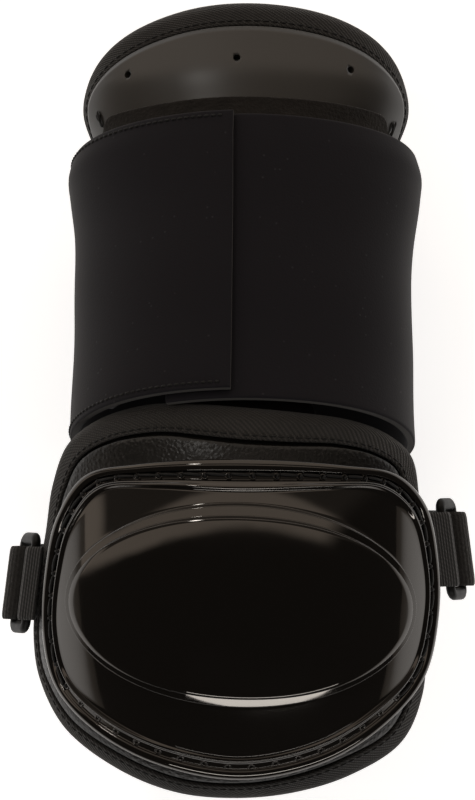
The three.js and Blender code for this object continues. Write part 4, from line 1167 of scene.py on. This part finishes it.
def by_eyelets(out, side, up):
    """Point beside each eyelet: its place + out, side and up along its three directions."""
    return eyelet_at + eyelet_out * out + eyelet_side * side + eyelet_up * up


ends = {name: by_eyelets(**offsets) for name, offsets in CAP_STITCH_ENDS.items()}
next_run_end = np.roll(ends["run_end"], -1, axis=0)
shown = eyelet_at[:, 1] > CAP_THREAD_Y
cap_stitches = stitch_piece(
    "cap_stitches",
    np.concatenate([ends["run_start"][shown], ends["leg_start"][shown]]),
    np.concatenate([next_run_end[shown], ends["leg_end"][shown]]),
    np.concatenate([eyelet_up[shown], eyelet_up[shown]]),
    CAP_THREAD, CAP_THREAD_ARCH, thread,
)

# Strap rings and webbing tabs
# A moulded plastic ring hangs at each side of the cup from a tab of ribbed nylon webbing, which
# comes out beside the cap and is folded round the ring's inner bar.
WEBBING_WIDTH = 0.0254
WEBBING = 0.0018
TAB_WEBBING = 0.0014
WEBBING_ROWS = 25
SELVEDGE_POWER = 16
SELVEDGE_LEAST = 0.06
CORD_SHARE = 1.4
TAB_SLOPE = np.radians(35)
TAB_WRAP = np.radians(200)
RING_LENGTH = 0.035
RING_WIDTH = 0.015
RING_WIRE = 0.0032
RING_CORNER = 0.0018
RING_END_EXTRA = 0.0007
RING_SLOPE = np.radians(70)
STRAP_LEAN = np.radians(7.5)
SIDES = [
    {"name": "left", "side": -1, "y": -0.0625, "past": 0.0022, "layer": -0.0009, "reach": 0.005},
    {"name": "right", "side": 1, "y": -0.051, "past": -0.0006, "layer": -0.006, "reach": 0.013},
]
RING_SIDES = 16
RING_CORNER_STEPS = 13
RING_COLOUR = (0.0035, 0.0035, 0.0035)
RIB_PITCH = 0.0011
WEB_DARK = (0.004, 0.004, 0.004)
WEB_LIGHT = (0.0095, 0.009, 0.009)

bar_span = RING_WIDTH - RING_WIRE
coarse_spots = shell_spots[:: len(shell_spots) // 50]


def across(x):
    """Direction across the webbing: it leans in and follows the cup's slope beside the rings."""
    share = np.clip(x / SHELL_HALF_WIDTH, -1, 1)
    lean = -STRAP_LEAN * share
    y = np.where(share < 0, SIDES[0]["y"], SIDES[1]["y"])
    pitch = (CUP_CROWN_Y - y) / CUP_BEND_RADIUS * smooth_rise(np.abs(share), 0.5, 1)
    return unit(np.stack([np.sin(lean), np.cos(lean), pitch], -1))


def slope_vector(side, slope):
    """Unit vector out to one side and down by a slope."""
    return np.array([side * np.cos(slope), 0, -np.sin(slope)])


def ribbon_piece(name, centres, thickness, materials):
    """Ribbon of webbing along its centre points with rounded selvedges: point = centre + across *
    share of the width + normal * half thickness * (1 - share^16)^(1/2), above the floor."""
    local = centres - GUARD_SHIFT
    side = across(local[:, 0])
    tangent = np.gradient(centres, axis=0)
    normal = unit(np.cross(tangent, side))
    share = np.sin(np.linspace(-np.pi / 2, np.pi / 2, WEBBING_ROWS))
    full = np.sqrt(np.maximum(1 - share**SELVEDGE_POWER, SELVEDGE_LEAST))
    flat = centres[:, None] + side[:, None] * (share * WEBBING_WIDTH / 2)[:, None]
    faces = []
    for way in (1, -1):
        face = flat + normal[:, None] * (way * thickness / 2 * full)[:, None]
        face[..., 2] = np.maximum(face[..., 2], 0)
        faces.append(face)
    return wall_piece(name, faces[0], faces[1], materials)


webbing, web_tree, web_shader = new_material("webbing", WEB_DARK, 0.7, 0.35)
web_shader.inputs["Sheen Weight"].default_value = 0.08
u, v = cloth_axes(web_tree)
web_ribs = wave_of(web_tree, u, v, 1, 0, RIB_PITCH)
web_cords = wave_of(web_tree, u, v, 0.5, 1, RIB_PITCH * CORD_SHARE)
web_weave = weave_of(web_tree, web_ribs, web_cords)
web_tree.links.new(blend(web_tree, web_weave, WEB_DARK, WEB_LIGHT), web_shader.inputs["Base Color"])
add_bump(web_tree, web_shader, web_weave, strength=1.0, distance=0.0003)

ring_plastic, ring_tree, ring_shader = new_material("ring_plastic", RING_COLOUR, 0.45, 0.18)
vary_roughness(ring_tree, ring_shader, scale=250.0, detail=5.0, first=0.38, last=0.58)
scuff = noise(ring_tree, scale=250.0, detail=5.0)
add_bump(ring_tree, ring_shader, scuff, strength=0.15, distance=0.0001)

bars = {}
for row in SIDES:
    side = row["side"]
    near = coarse_spots[coarse_spots[:, 0] * side > 0]
    edge_x = near[np.argmin(np.abs(near[:, 1] - row["y"])), 0] + side * row["past"]
    start = cup_point(np.array([edge_x, row["y"]]), row["layer"])
    down = slope_vector(side, TAB_SLOPE)
    up = np.array([side * np.sin(TAB_SLOPE), 0, np.cos(TAB_SLOPE)])
    tab_radius = (RING_WIRE + TAB_WEBBING) / 2 + WRAP_GAP
    inner_bar = start + down * row["reach"] - up * tab_radius
    inner_bar[1] = row["y"] + GUARD_SHIFT[1]
    start[1] = inner_bar[1]
    outer_bar = inner_bar + slope_vector(side, RING_SLOPE) * bar_span
    bars[row["name"]] = outer_bar

    turn = np.linspace(0, TAB_WRAP, 40)[:, None]
    wrap_line = inner_bar + up * np.cos(turn) * tab_radius + down * np.sin(turn) * tab_radius
    lead = start + (wrap_line[0] - start) * np.linspace(0, 1, 12)[:-1, None]
    tab_line = np.concatenate([lead, wrap_line])
    tab = ribbon_piece(f"{row['name']}_webbing_tab", tab_line, TAB_WEBBING, [webbing])
    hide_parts(f"tab_{row['name']}")

    long_way = across(inner_bar[0] - GUARD_SHIFT[0])
    short_way = slope_vector(side, RING_SLOPE)
    out = unit(np.cross(long_way, short_way))
    centre = (inner_bar + outer_bar) / 2
    half_long = (RING_LENGTH - RING_WIRE) / 2 - RING_CORNER - RING_END_EXTRA
    half_wide = bar_span / 2 - RING_CORNER
    loops = []
    for u, v, first in ((1, 1, 0), (-1, 1, 90), (-1, -1, 180), (1, -1, 270)):
        turn = np.radians(np.linspace(first, first + 90, RING_CORNER_STEPS))[:, None]
        outward = long_way * np.cos(turn) + short_way * np.sin(turn)
        corner_at = centre + long_way * u * half_long + short_way * v * half_wide + outward * RING_CORNER
        reach = (RING_WIRE / 2 + RING_END_EXTRA * (outward @ long_way) ** 2)[:, None, None]
        wire = np.linspace(0, 2 * np.pi, RING_SIDES, endpoint=False)[None, :, None]
        section = outward[:, None] * np.cos(wire) * reach + out * np.sin(wire) * RING_WIRE / 2
        loops.append(corner_at[:, None] + section)
    wire_grid = np.concatenate(loops)
    outer, inner = wire_grid[:, :RING_SIDES // 2], wire_grid[:, :RING_SIDES // 2 - 1:-1]
    ring = wall_piece(f"{row['name']}_strap_ring", outer, inner, [ring_plastic], looped=True)
    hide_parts(f"ring_{row['name']}")

# Forearm strap
# Napped black nylon webbing, a whole loop: a tail outside each ring, over its outer bar, down
# and round under the arm, where it lies on the table.
STRAP_FALL = 0.009
STRAP_TAIL = 0.042
STRAP_PRESS = 0.002
STRAP_SLACK = 0.0012
LOOP_STEPS = 200
TAIL_STEPS = 30
STRAP_POWER = 2 / 2.6
NAP_SHADES = ((0.003, 0.003, 0.003), (0.026, 0.025, 0.024))

left, right = bars["left"], bars["right"]
bar_radius = (RING_WIRE + WEBBING) / 2 + WRAP_GAP + STRAP_SLACK
tail_gap = WEBBING + WRAP_GAP
loop_middle = (left[0] + right[0]) / 2
loop_half_width = (right[0] - left[0]) / 2 - bar_radius + tail_gap


def loop_line(share, lift):
    """Line of the loop in x and z, a superellipse below the bars, pushed out by lift and kept on
    the floor."""
    turn = np.pi * share
    top = left[2] + (right[2] - left[2]) * share - STRAP_FALL
    side = -np.sign(np.cos(turn)) * np.abs(np.cos(turn)) ** STRAP_POWER
    fall = (top + STRAP_PRESS - lift) * np.abs(np.sin(turn)) ** STRAP_POWER
    height = np.maximum(top - fall, WEBBING / 2)
    return np.stack([loop_middle + (loop_half_width + lift) * side, 0 * turn, height], -1)


def bar_line(bar, side, first, last):
    """Half circle of the strap over a ring's outer bar."""
    turn = np.radians(np.linspace(first, last, 26))[1:-1]
    height = bar[2] + np.sin(turn) * bar_radius
    return np.stack([bar[0] + side * np.cos(turn) * bar_radius, 0 * turn, height], -1)


tail_share = np.arcsin((STRAP_TAIL / (left[2] + STRAP_PRESS)) ** (1 / STRAP_POWER)) / np.pi
strap_line = np.concatenate([
    loop_line(np.linspace(tail_share, 0, TAIL_STEPS), tail_gap),
    bar_line(left, -1, 0, 180),
    loop_line(np.linspace(0, 1, LOOP_STEPS), 0),
    bar_line(right, 1, 180, 0),
    loop_line(np.linspace(1, 1 - tail_share, TAIL_STEPS), tail_gap),
])
strap_line[:, 1] = left[1] + (right[1] - left[1]) * smooth_rise(strap_line[:, 0], left[0], right[0])

napped, nap_tree, nap_shader = new_material("napped_webbing", WEB_DARK, 0.9, 0.25)
nap_shader.inputs["Sheen Weight"].default_value = 0.12
u, v = cloth_axes(nap_tree)
fuzz = noise(nap_tree, scale=950.0, detail=4.0)
nap_height = add_math(nap_tree, "MULTIPLY_ADD", wave_of(nap_tree, u, v, 1, 0, RIB_PITCH), 0.25, fuzz)
add_bump(nap_tree, nap_shader, nap_height, strength=1.0, distance=0.0005)
nap_tree.links.new(blend(nap_tree, fuzz, *NAP_SHADES), nap_shader.inputs["Base Color"])
strap = ribbon_piece("forearm_webbing", strap_line, WEBBING, [napped])
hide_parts("forearm_strap")
